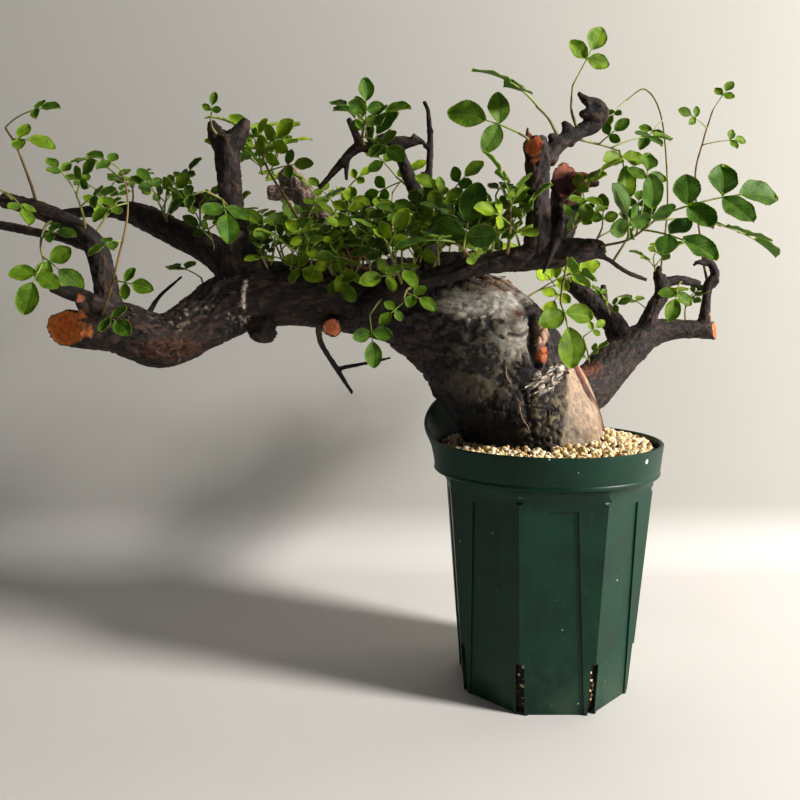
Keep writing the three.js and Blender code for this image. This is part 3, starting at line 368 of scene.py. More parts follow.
def mesh_object(name, points, faces, scale=MM):
    """A smooth object from points and a list of arrays of faces, one corner count in each array."""
    mesh = bpy.data.meshes.new(name)
    groups = [np.asarray(group, np.int32) for group in faces if len(group)]
    corners = np.concatenate([group.ravel() for group in groups])
    sizes = np.concatenate([np.full(len(group), group.shape[1], np.int32) for group in groups])
    starts = np.concatenate([[0], np.cumsum(sizes)[:-1]]).astype(np.int32)
    mesh.vertices.add(len(points))
    mesh.loops.add(len(corners))
    mesh.polygons.add(len(sizes))
    mesh.vertices.foreach_set("co", (np.asarray(points) * scale).astype(np.float32).ravel())
    mesh.loops.foreach_set("vertex_index", corners)
    mesh.polygons.foreach_set("loop_start", starts)
    mesh.update(calc_edges=True)
    mesh.validate()
    mesh.shade_smooth()
    piece = bpy.data.objects.new(name, mesh)
    bpy.context.scene.collection.objects.link(piece)
    return piece


def write_attribute(piece, name, values):
    """Keeps a number, or three, at each vertex for the materials."""
    values = np.asarray(values, np.float32)
    kind, key = ("FLOAT", "value") if values.ndim == 1 else ("FLOAT_VECTOR", "vector")
    layer = piece.data.attributes.new(name, kind, "POINT")
    layer.data.foreach_set(key, values.ravel())


def with_modifiers(piece, name):
    """A new mesh object of the piece as its modifiers leave it. The piece itself goes."""
    bpy.context.view_layer.update()
    ready = piece.evaluated_get(bpy.context.evaluated_depsgraph_get())
    mesh = bpy.data.meshes.new_from_object(ready)
    mesh.name = name
    bpy.data.objects.remove(piece)
    made = bpy.data.objects.new(name, mesh)
    bpy.context.scene.collection.objects.link(made)
    return made


def points_of(mesh):
    points = np.zeros(len(mesh.vertices) * 3, np.float32)
    mesh.vertices.foreach_get("co", points)
    return points.reshape(-1, 3).astype(float)


def corners_of(mesh):
    """Faces of a mesh with four corners in every face."""
    corners = np.zeros(len(mesh.loops), np.int32)
    mesh.loops.foreach_get("vertex_index", corners)
    return corners.reshape(-1, 4)


def normals_of(points, quads):
    """Outward directions at the points of a mesh of four-sided faces."""
    across = points[quads[:, 2]] - points[quads[:, 0]]
    along = points[quads[:, 3]] - points[quads[:, 1]]
    facing = np.cross(across, along)
    total = np.stack([
        np.bincount(quads.ravel(), np.repeat(facing[:, axis], 4), len(points)) for axis in range(3)
    ], axis=1)
    return unit(total + 1e-12)


def smoothed(points, quads, rounds, share=0.5):
    """Points moved towards the middle of their neighbours."""
    ends = np.concatenate([quads, np.roll(quads, 1, axis=1)]).ravel()
    others = np.concatenate([np.roll(quads, 1, axis=1), quads]).ravel()
    count = np.bincount(ends, minlength=len(points))[:, None]
    for _ in range(rounds):
        mean = np.stack([
            np.bincount(ends, points[others, axis], len(points)) for axis in range(3)
        ], axis=1) / count
        points = points + share * (mean - points)
    return points


def closed_rings(rings):
    """Points and faces over a list of equal rings, with a fan round a middle point at each end."""
    count = len(rings[0])
    ring = np.arange(len(rings) - 1)[:, None] * count
    side = np.arange(count)[None, :]
    after = (side + 1) % count
    quads = np.stack([ring + side, ring + after, ring + count + after, ring + count + side], axis=-1)
    first = len(rings) * count
    top = first - count
    low = np.stack([np.full(count, first), after[0], side[0]], axis=1)
    high = np.stack([np.full(count, first + 1), top + side[0], top + after[0]], axis=1)
    ends = [rings[0].mean(axis=0), rings[-1].mean(axis=0)]
    return np.vstack([*rings, ends]), [quads.reshape(-1, 4), np.vstack([low, high])]


def blade_faces(rows, columns):
    """Faces of a thin closed blade: a grid of points above, and then the same grid below."""
    spots = np.arange(rows * columns).reshape(rows, columns)
    quads = np.stack([spots[:-1, :-1], spots[1:, :-1], spots[1:, 1:], spots[:-1, 1:]], axis=-1)
    quads = quads.reshape(-1, 4)
    rim = np.concatenate([spots[0, :], spots[1:, -1], spots[-1, -2::-1], spots[-2:0:-1, 0]])
    after = np.roll(rim, -1)
    walls = np.stack([rim, after, after + spots.size, rim + spots.size], axis=1)
    return [quads[:, ::-1], quads + spots.size, walls]


def to_metres(piece):
    piece.data.transform(Matrix.Diagonal((MM, MM, MM, 1)))


class Pile:
    """Surfaces gathered into one object, with their materials and the values at their points."""

    def __init__(self):
        self.points = []
        self.faces = {3: [], 4: []}
        self.paints = {3: [], 4: []}
        self.values = {}
        self.count = 0

    def add(self, points, faces, paint=0, **values):
        for group in faces:
            group = np.asarray(group, int)
            if len(group):
                self.faces[group.shape[1]].append(group + self.count)
                self.paints[group.shape[1]].append(np.full(len(group), paint))
        for name, value in values.items():
            value = np.asarray(value, float)
            if value.ndim == 0:
                value = np.full(len(points), float(value))
            self.values.setdefault(name, []).append((self.count, value))
        self.points.append(np.asarray(points, float))
        self.count += len(points)

    def piece(self, name, materials):
        kinds = [kind for kind in (3, 4) if self.faces[kind]]
        made = mesh_object(name, np.vstack(self.points), [np.vstack(self.faces[kind]) for kind in kinds])
        paints = np.concatenate([np.concatenate(self.paints[kind]) for kind in kinds])
        for material in materials:
            made.data.materials.append(material)
        made.data.polygons.foreach_set("material_index", paints.astype(np.int32))
        for label, parts in self.values.items():
            width = parts[0][1].shape[1:] or ()
            whole = np.zeros((self.count, *width))
            for start, value in parts:
                whole[start:start + len(value)] = value
            write_attribute(made, label, whole)
        return made


def dress(piece, slot, *nodes):
    """Sets a piece on the body and in the place of the solids that it stands for."""
    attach(piece, ROOT)
    if nodes:
        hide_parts(*nodes)


# Lines of wood and stalks

FIRST_NORMAL = (0.12, -0.98, 0.17)
SLANTED_RINGS = 4


def frames(directions):
    """Two directions square to each of a row of directions, turning as little as they can."""
    normal = np.array(FIRST_NORMAL)
    normals = []
    for direction in directions:
        normal = normal - normal.dot(direction) * direction
        normal = normal / np.linalg.norm(normal)
        normals.append(normal)
    normals = np.array(normals)
    return normals, np.cross(directions, normals)


def line_along(line, spacing):
    """Places, directions, radii, frames and lengths along a line of [x, y, z, radius] points."""
    line = np.asarray(line, float)
    length = np.linalg.norm(np.diff(line[:, :3], axis=0), axis=1).sum()
    count = max(3, int(round(length / spacing)) + 1)
    at = np.linspace(0, len(line) - 1, count)
    places, slopes = spline(line[:, :3], at)
    radii = spline(line[:, 3:], at, extend=False)[0][:, 0]
    directions = unit(slopes)
    normals, acrosses = frames(directions)
    lengths = np.concatenate([[0], np.cumsum(np.linalg.norm(np.diff(places, axis=0), axis=1))])
    return dict(places=places, directions=directions, radii=radii, at=at, normals=normals,
                acrosses=acrosses, lengths=lengths)


def tube(run, sides, swell=None, cut=None):
    """Points and faces of a round surface along a run, closed at both ends."""
    angle = 2 * np.pi * np.arange(sides) / sides
    reach = run["radii"][:, None] * (1 if swell is None else swell(angle[None, :], run["at"][:, None]))
    reach = np.broadcast_to(reach, (len(run["radii"]), sides))
    around = (np.cos(angle)[None, :, None] * run["normals"][:, None, :]
              + np.sin(angle)[None, :, None] * run["acrosses"][:, None, :])
    rings = run["places"][:, None, :] + reach[..., None] * around
    if cut is not None:
        facing = np.asarray(cut, float)
        along = run["directions"][-1]
        for back in range(1, SLANTED_RINGS + 1):
            above = (rings[-back] - run["places"][-1]) @ facing
            slide = -above / along.dot(facing) * (SLANTED_RINGS + 1 - back) / SLANTED_RINGS
            rings[-back] = rings[-back] + slide[:, None] * along
    return closed_rings(rings)


# Materials

class Paint:
    """A material built by short calls, ending in one Principled shader."""

    def __init__(self, name, roughness=0.6):
        self.material = bpy.data.materials.new(name)
        self.material.use_nodes = True
        tree = self.material.node_tree
        tree.nodes.clear()
        self.nodes, self.links = tree.nodes, tree.links
        self.shader = self.nodes.new("ShaderNodeBsdfPrincipled")
        output = self.nodes.new("ShaderNodeOutputMaterial")
        self.links.new(self.shader.outputs[0], output.inputs[0])
        self.shader.inputs["Roughness"].default_value = roughness

    def put(self, socket, value):
        if isinstance(value, bpy.types.NodeSocket):
            self.links.new(value, socket)
        elif isinstance(value, (tuple, list, np.ndarray)) and socket.type == "RGBA":
            socket.default_value = (*[float(part) for part in value[:3]], 1)
        else:
            socket.default_value = value

    def node(self, kind, inputs, outlet=0, **settings):
        made = self.nodes.new("ShaderNode" + kind)
        for label, value in settings.items():
            setattr(made, label, value)
        for label, value in inputs.items():
            self.put(made.inputs[label], value)
        return made.outputs[outlet]

    def value(self, name, outlet="Fac"):
        return self.node("Attribute", {}, outlet, attribute_name=name)

    def place(self):
        return self.node("TexCoord", {}, "Object")

    def stretched(self, vector, scale):
        return self.node("Mapping", {"Vector": vector, "Scale": scale})

    def noise(self, vector, scale, detail=4, roughness=0.55, warp=0.0):
        return self.node("TexNoise", {
            "Vector": vector, "Scale": scale, "Detail": detail, "Roughness": roughness, "Distortion": warp,
        })

    def cracks(self, vector, scale):
        return self.node("TexVoronoi", {"Vector": vector, "Scale": scale}, feature="DISTANCE_TO_EDGE")

    def sums(self, kind, first, second=0.5, third=0.5):
        return self.node("Math", {0: first, 1: second, 2: third}, operation=kind)

    def step(self, value, low, high, out_low=0.0, out_high=1.0):
        inputs = {"Value": value, "From Min": low, "From Max": high, "To Min": out_low, "To Max": out_high}
        return self.node("MapRange", inputs, interpolation_type="SMOOTHSTEP")

    def mix(self, share, first, second, kind="MIX"):
        made = self.nodes.new("ShaderNodeMix")
        made.data_type = "RGBA"
        made.blend_type = kind
        self.put(made.inputs[0], share)
        self.put(made.inputs[6], first)
        self.put(made.inputs[7], second)
        return made.outputs[2]

    def ramp(self, value, stops):
        """A colour for a value, from stops of a value and a colour."""
        made = self.nodes.new("ShaderNodeValToRGB")
        self.put(made.inputs[0], value)
        while len(made.color_ramp.elements) < len(stops):
            made.color_ramp.elements.new(0.5)
        for element, (at, colour) in zip(made.color_ramp.elements, stops):
            element.position = at
            element.color = (*colour, 1)
        return made.outputs[0]

    def parts(self, vector):
        made = self.nodes.new("ShaderNodeSeparateXYZ")
        self.put(made.inputs[0], vector)
        return made.outputs

    def finish(self, colour, roughness=None, height=None, depth=0.0002, strength=0.6):
        self.put(self.shader.inputs["Base Color"], colour)
        if roughness is not None:
            self.put(self.shader.inputs["Roughness"], roughness)
        if height is not None:
            relief = self.node("Bump", {"Height": height, "Strength": strength, "Distance": depth})
            self.put(self.shader.inputs["Normal"], relief)
        return self.material


def bark_material():
    paint = Paint("bark")
    grain = paint.value("grain", "Vector")
    tint = paint.value("tint", "Vector")
    gloss = paint.value("gloss")
    even = paint.value("even")
    fibre = paint.noise(paint.stretched(grain, (1.0, 1.0, 0.3)), 0.9, 5, 0.62, 0.6)
    cloud = paint.noise(grain, 0.42, 6, 0.66, 0.4)
    figure = paint.sums("ADD", fibre, paint.sums("MULTIPLY", even, paint.sums("SUBTRACT", cloud, fibre)))
    grit = paint.noise(grain, 2.6, 3, 0.6)
    flecks = paint.noise(grain, 1.1, 2, 0.5)
    shade = paint.step(figure, 0.3, 0.7, 0.55, 1.45)
    shade = paint.sums("MULTIPLY", shade, paint.step(grit, 0.3, 0.7, 0.78, 1.22))
    colour = paint.mix(1.0, tint, paint.node("CombineColor", {0: shade, 1: shade, 2: shade}), "MULTIPLY")
    lighter = paint.mix(1.0, tint, (0.1, 0.085, 0.07), "ADD")
    colour = paint.mix(paint.step(flecks, 0.62, 0.72, 0.0, 0.35), colour, lighter)
    roughness = paint.sums("MULTIPLY_ADD", gloss, -0.4, 0.84)
    roughness = paint.sums("ADD", roughness, paint.step(grit, 0.2, 0.8, -0.1, 0.1))
    height = paint.sums("MULTIPLY_ADD", figure, 1.0, paint.sums("MULTIPLY", grit, 0.4))
    return paint.finish(colour, roughness, height, 0.0006, 0.8)


def leaf_material():
    paint = Paint("leaf")
    across, along, tint = paint.parts(paint.value("leaf", "Vector"))
    under = paint.value("under")
    place = paint.place()
    aside = paint.sums("ABSOLUTE", across)
    midrib = paint.step(aside, 0.015, 0.075, 1.0, 0.0)
    sweep = paint.sums("MULTIPLY_ADD", aside, -0.34, along)
    rows = paint.sums("FRACT", paint.sums("MULTIPLY", sweep, 6.5))
    from_row = paint.sums("ABSOLUTE", paint.sums("SUBTRACT", rows, 0.5))
    side = paint.step(from_row, 0.0, 0.1, 1.0, 0.0)
    side = paint.sums("MULTIPLY", side, paint.step(aside, 0.75, 0.98, 1.0, 0.0))
    veins = paint.sums("MAXIMUM", midrib, paint.sums("MULTIPLY", side, 0.6))
    mottle = paint.noise(place, 260, 3, 0.55)
    mesh = paint.cracks(place, 900)
    deep = paint.mix(paint.step(mottle, 0.3, 0.7), srgb(42, 74, 11), srgb(73, 107, 17))
    young = paint.mix(paint.step(mottle, 0.3, 0.7), srgb(110, 139, 18), srgb(154, 173, 30))
    colour = paint.mix(paint.step(tint, 0.1, 0.95), deep, young)
    colour = paint.mix(paint.sums("MULTIPLY", veins, 0.3), colour, srgb(140, 170, 66))
    colour = paint.mix(paint.step(mesh, 0.0, 0.12, 0.12, 0.0), colour, srgb(140, 170, 66))
    colour = paint.mix(paint.sums("MULTIPLY", under, 0.35), colour, srgb(112, 138, 66))
    colour = paint.mix(paint.step(aside, 0.9, 1.0, 0.0, 0.3), colour, srgb(150, 160, 60))
    roughness = paint.step(mottle, 0.2, 0.8, 0.46, 0.64)
    height = paint.sums("SUBTRACT", paint.step(mesh, 0.0, 0.2, 0.0, 0.35), veins)
    skin = paint.shader.inputs
    skin["Subsurface Weight"].default_value = 0.35
    skin["Subsurface Radius"].default_value = (0.7, 1.0, 0.15)
    skin["Subsurface Scale"].default_value = 0.0012
    skin["Specular IOR Level"].default_value = 0.28
    return paint.finish(colour, roughness, height, 0.0001, 0.6)


def stalk_material():
    paint = Paint("stalk")
    place = paint.place()
    blotch = paint.noise(place, 180, 3)
    tone = paint.value("tone")
    green = paint.mix(paint.step(blotch, 0.35, 0.65), srgb(132, 158, 70), srgb(160, 172, 96))
    woody = paint.mix(paint.step(blotch, 0.35, 0.65), srgb(84, 56, 42), srgb(136, 98, 66))
    colour = paint.mix(tone, green, woody)
    height = paint.noise(place, 1400, 3)
    paint.shader.inputs["Subsurface Weight"].default_value = 0.1
    paint.shader.inputs["Subsurface Scale"].default_value = 0.0005
    return paint.finish(colour, paint.step(blotch, 0.2, 0.8, 0.42, 0.62), height, 0.0001, 0.5)


# Wood: one surface over the trunk and every branch, with its bark, cracks and pruning cuts

TRUNK_RELIEF = 0.05
BRANCH_RELIEF = 0.07
LUMPY_RADIUS = 4.5
VOXEL = 0.62
WOOD_TRIANGLES = 192000
RUN_STEP = 1.5
APART = 53
CHUNK = 20000
FLAT_CUT = 1.6
LIMB_FROM = -100


def lumps(angle, span):
    """The low swellings of old wood, as in the solids."""
    return 0.6 * np.sin(3 * angle + 2.1 * span) + 0.4 * np.sin(5 * angle - 3.3 * span + 1)


# Small horns, buds and broken ends that the solids leave out
SMALL_FORMS = [
    [[-162, -25, 279, 5.2], [-165.6, -25, 284.6, 3.8], [-167, -26, 289, 1.8]],
    [[-157, -25, 279, 5.4], [-152.6, -25, 285, 4], [-150, -25, 290, 2]],
    [[-158, -25, 262, 5.6], [-163.5, -28, 263.5, 2.6]],
    [[-157, -25, 240, 6], [-151.8, -29, 242, 2.6]],
    [[-160.2, -28, 256.4, 5], [-163.5, -30, 257.5, 2.4]],
    [[11, -46, 291.4, 3], [6.5, -47, 292.8, 2.2], [2.4, -48, 296, 0.9]],
    [[12, -47, 286, 4], [7.5, -48, 286.4, 3], [3.2, -49, 286.8, 1.4]],
    [[7.6, -50, 290, 1.6], [5.2, -51.5, 290.6, 1.1]],
    [[-1, -49, 276, 3.4], [-2.4, -49, 281, 2.4], [-4.6, -49, 283, 1]],
    [[1, -38, 258, 5], [7.5, -41, 258.5, 4], [14.5, -43, 256.6, 1.4]],
    [[-116, -20, 219, 5], [-109, -20, 226, 5.2], [-101, -20, 228, 5], [-91, -20, 227.5, 4]],
    [[-77, -8, 216, 5], [-57, -6, 224, 4.6], [-36, -6, 226, 3.6]],
    [[-5.4, -50, 274.8, 2.6], [-9.6, -53, 275.5, 2.1], [-11.1, -54, 276.6, 1.1]],
    [[-0.2, -49, 275.1, 2.6], [-0.2, -51, 272.0, 1.2]],
    [[-19.8, -58, 272.5, 2.4], [-21.0, -58, 275.6, 1.5], [-21.1, -57, 279, 0.5]],
    [[-15.1, -57, 272.5, 2.4], [-12.9, -57, 274.6, 0.9]],
    [[-63.1, -11, 286.6, 1.5], [-60.7, -13, 287.6, 1.0]],
    [[-62.7, -13, 279.5, 1.7], [-65.7, -15, 280.0, 1.1]],
    [[-63.6, -14, 265.3, 1.9], [-66.9, -16, 266.1, 1.2]],
    [[-71.2, -20, 281.3, 3.4], [-67.3, -20, 280.8, 1.7], [-64.4, -21, 279.2, 0.7]],
    [[-80.9, -20, 283.2, 2.4], [-82.8, -21, 285.8, 1.3]],
    [[-220.7, -36, 232.1, 3], [-222.6, -40, 229.0, 1.5]],
    [[-239.6, -38, 243.9, 3], [-240.3, -39, 247.4, 1.4]],
    [[-249.7, -38, 246.6, 2.6], [-246.7, -41, 250.3, 1.3]],
    [[-144.4, -27, 189.7, 8], [-145.4, -33, 186.0, 3]],
    [[-149, -24, 222, 6], [-147, -29, 227, 4.2]],
    [[120.3, 89, 215.8, 2.6], [123.3, 86, 218.8, 1.3]],
    [[115.9, 89, 229.5, 2.4], [110.4, 88, 230.1, 1.6], [107.4, 88, 227.6, 0.9]],
    [[83.6, 84, 221.8, 3], [84.7, 82, 227.3, 1.7]],
]

# Twigs that the solids make thicker than they look
FINE_TWIGS = {"rightTwig": 0.72, "limbTwig": 0.6, "underTwig": 0.8, "underSideTwig": 0.75}
for twig, share in FINE_TWIGS.items():
    BRANCHES[twig] = [[*point[:3], point[3] * share] for point in BRANCHES[twig]]

WOOD_LINES = {"trunk": TRUNK, **BRANCHES, **{f"small{i}": line for i, line in enumerate(SMALL_FORMS)}}

# Pruning cuts: colour of the wood, and how far a lighter edge reaches in
CUT_FACES = {
    "trunk": (srgb(208, 108, 38), srgb(226, 134, 66)),
    "wideStub": (srgb(94, 34, 16), srgb(172, 104, 80)),
    "tallStubCut": (srgb(172, 82, 30), srgb(202, 120, 66)),
    "limbKnob": (srgb(176, 96, 58), srgb(196, 128, 92)),
    "rightLimb": (srgb(196, 92, 40), srgb(222, 134, 80)),
    "rearStub": (srgb(104, 36, 34), srgb(130, 60, 52)),
    "pinkStub": (srgb(196, 128, 104), srgb(214, 152, 126)),
    "riser": (srgb(96, 70, 56), srgb(128, 100, 80)),
    "rearKnob": (srgb(112, 92, 78), srgb(140, 120, 102)),
    "mast": (srgb(104, 92, 74), srgb(140, 126, 100)),
}

# Marks on the front of the trunk, as lines of [x, z] with a width and a depth
CREVICE = ([[-13.5, 196], [-12, 189], [-13.5, 182], [-10.5, 173]], 2.6, 3.4)
CREASE = ([[-25, 187.5], [-19, 187], [-14.5, 189.5]], 1.1, 1.0)
BLOTCHES = ([[-37, 199], [-43, 190], [-43, 180], [-36, 172]], 12, 0.5)
LOW_CRACK = ([[-24, 168], [-17, 160], [-14, 150], [-11, 138]], 1.3, 0.8)
KNOBS = [[-20, 192.5, 6, 2.2], [-8.5, 191, 3.4, 1.9], [-9.5, 184.5, 2.6, 1.5], [-33, 204, 12, 1.2]]

# Patches of bark on the trunk and the limb, as [x, z, half width, half height]
WOUND = [-7.5, 178, 2.6, 3.8]
# Silver bark on the top front of the trunk, painted so pale that it is partly a painted highlight
SILVER_AND_HIGHLIGHT = [-36, 203, 21, 9]
SILVER_SIDE = [-20, 187, 9, 12]
OLIVE = [-33, 185, 19, 15]
LOW_OLIVE = [-37, 165, 16, 9]
FLANK = [-64, 184, 14, 22]
PALE_KNOBS = [-9, 188, 3.6, 6]
PEEL = [-29, 212, 14, 4.5]
SCAR = [-20, 198.5, 2.6, 3]
DASHES = [-5, 165.5, 13, 5, 0.5]
MOTTLE = [-5, 147, 13, 13]
LIMB_CRACKS = [-168, 195, 20, 7]
LIMB_BROWN = [-184, 181, 18, 5]
# A painted highlight: a near white patch on the top front of the trunk
PAINTED_HIGHLIGHT = [-37, 203, 17, 5]

# Spots on the wood, as [x, y, z, reach]: the red horn of the wide stub, and a stub that stands in the light
HORN = [9, -42, 258.5, 8.5]
LIT_STUB = [-101, -22, 229, 13]

# Lines on the wood in space, with a width: a strip of peeled bark, a white scratch
STRIP = ([[13, -10, 173], [21, -12, 156], [29, -8, 138]], 1.7)
SCRATCH = ([[-151.2, -34, 214], [-151.7, -34, 207], [-152.1, -34, 200.8]], 1.15)
RUST_PATCH = ([[26, 44, 166], [36, 54, 163]], 7)
FIBRES = [
    [[-26.8, -37, 171.8], [-24.4, -37, 167.5], [-21.7, -36, 163.5]],
    [[-19.3, -34, 153.6], [-17, -33, 147], [-14.8, -31, 143], [-13.1, -30, 139.8]],
]


def to_line(x, z, line):
    """Distances in the x and z plane to a line of points."""
    best = np.full(len(x), 1e9)
    for (x0, z0), (x1, z1) in zip(line, line[1:]):
        dx, dz = x1 - x0, z1 - z0
        share = np.clip(((x - x0) * dx + (z - z0) * dz) / (dx * dx + dz * dz), 0, 1)
        best = np.minimum(best, np.hypot(x - x0 - share * dx, z - z0 - share * dz))
    return best


def near_line(points, line):
    """Distances in space to a line of points, each moved to the nearest place on the surface."""
    snapped = [points[np.argmin(((points - spot) ** 2).sum(axis=1))] for spot in np.array(line, float)]
    best = np.full(len(points), 1e9)
    for start, end in zip(snapped, snapped[1:]):
        span = end - start
        share = np.clip((points - start) @ span / (span @ span), 0, 1)
        best = np.minimum(best, np.linalg.norm(points - start - share[:, None] * span, axis=1))
    return best


def near_spot(points, spot):
    return np.linalg.norm(points - np.array(spot[:3]), axis=1) < spot[3]


def patch(x, z, place, wander, soft=0.35):
    """1 inside a patch of [x, z, half width, half height] with a wandering edge."""
    reach = np.hypot((x - place[0]) / place[2], (z - place[1]) / place[3])
    return rise(-soft, soft, 1 - reach + wander)


def rough_wood():
    """A closed surface over every line of wood, with an even grid of points."""
    pile = Pile()
    for name, line in WOOD_LINES.items():
        sides, relief = (72, TRUNK_RELIEF) if name == "trunk" else (32, BRANCH_RELIEF)
        if max(point[3] for point in line) < LUMPY_RADIUS:
            relief = 0
        swell = (lambda angle, span, relief=relief: 1 + relief * lumps(angle, span)) if relief else None
        points, faces = tube(line_along(line, 2.0), sides, swell, CUTS.get(name))
        pile.add(points, faces)
    faces = [np.vstack(pile.faces[kind]) for kind in (3, 4)]
    rough = mesh_object("wood_rough", np.vstack(pile.points), faces, 1)
    remesh = rough.modifiers.new("grid", "REMESH")
    remesh.mode = "VOXEL"
    remesh.voxel_size = VOXEL
    even = with_modifiers(rough, "wood_even")
    points, quads = points_of(even.data), corners_of(even.data)
    bpy.data.objects.remove(even)
    return smoothed(points, quads, 5), quads


def nearest_wood(points):
    """For each point: radius, place round and along the nearest line of wood, and which line it is."""
    runs = [line_along(line, RUN_STEP) for line in WOOD_LINES.values()]

    def gather(key):
        return np.concatenate([run[key] for run in runs])

    places, radii = gather("places").astype(np.float32), gather("radii").astype(np.float32)
    normals, acrosses, directions = gather("normals"), gather("acrosses"), gather("directions")
    lengths = np.concatenate([run["lengths"] + APART * i for i, run in enumerate(runs)])
    owner = np.concatenate([np.full(len(run["radii"]), i) for i, run in enumerate(runs)])
    nearest = np.zeros(len(points), int)
    size = (places**2).sum(axis=1)
    for start in range(0, len(points), CHUNK):
        part = points[start:start + CHUNK].astype(np.float32)
        square = (part**2).sum(axis=1)[:, None] - 2 * part @ places.T + size
        nearest[start:start + CHUNK] = np.argmin(np.sqrt(np.maximum(square, 0)) - radii, axis=1)
    offset = points - places[nearest]
    along = (offset * directions[nearest]).sum(axis=1)
    grain = np.stack([
        (offset * normals[nearest]).sum(axis=1),
        (offset * acrosses[nearest]).sum(axis=1),
        lengths[nearest] + along,
    ], axis=1)
    return radii[nearest].astype(float), grain, owner[nearest]


def cut_masks(points, normals):
    """How far each point is on a pruning cut, its colour there and its place across the cut."""
    mask = np.zeros(len(points))
    colour = np.zeros((len(points), 3))
    reach = np.zeros(len(points))
    for name, (heart, edge) in CUT_FACES.items():
        run = line_along(WOOD_LINES[name], RUN_STEP)
        end, radius = run["places"][-1], run["radii"][-1]
        facing = unit(CUTS.get(name, run["directions"][-1]))
        offset = points - end
        above = offset @ facing
        aside = np.linalg.norm(offset - above[:, None] * facing, axis=1)
        near = (np.abs(above) < FLAT_CUT) & (aside < 2.2 * radius)
        flat = rise(0.72, 0.9, normals @ facing) * near
        share = aside / radius
        shade = np.clip(share, 0, 1)[:, None] ** 3
        fresh = heart * (1 - shade) + edge * shade
        if name == "wideStub":
            top = rise(0.45, 0.95, offset[:, 2] / radius)[:, None]
            fresh = heart * (1 - top) + edge * top
        use = flat > mask
        mask = np.where(use, flat, mask)
        reach = np.where(use, share, reach)
        colour = np.where(use[:, None], fresh, colour)
    return mask, colour, reach


def mixed(base, other, share):
    share = np.asarray(share)[:, None]
    return base * (1 - share) + other * share


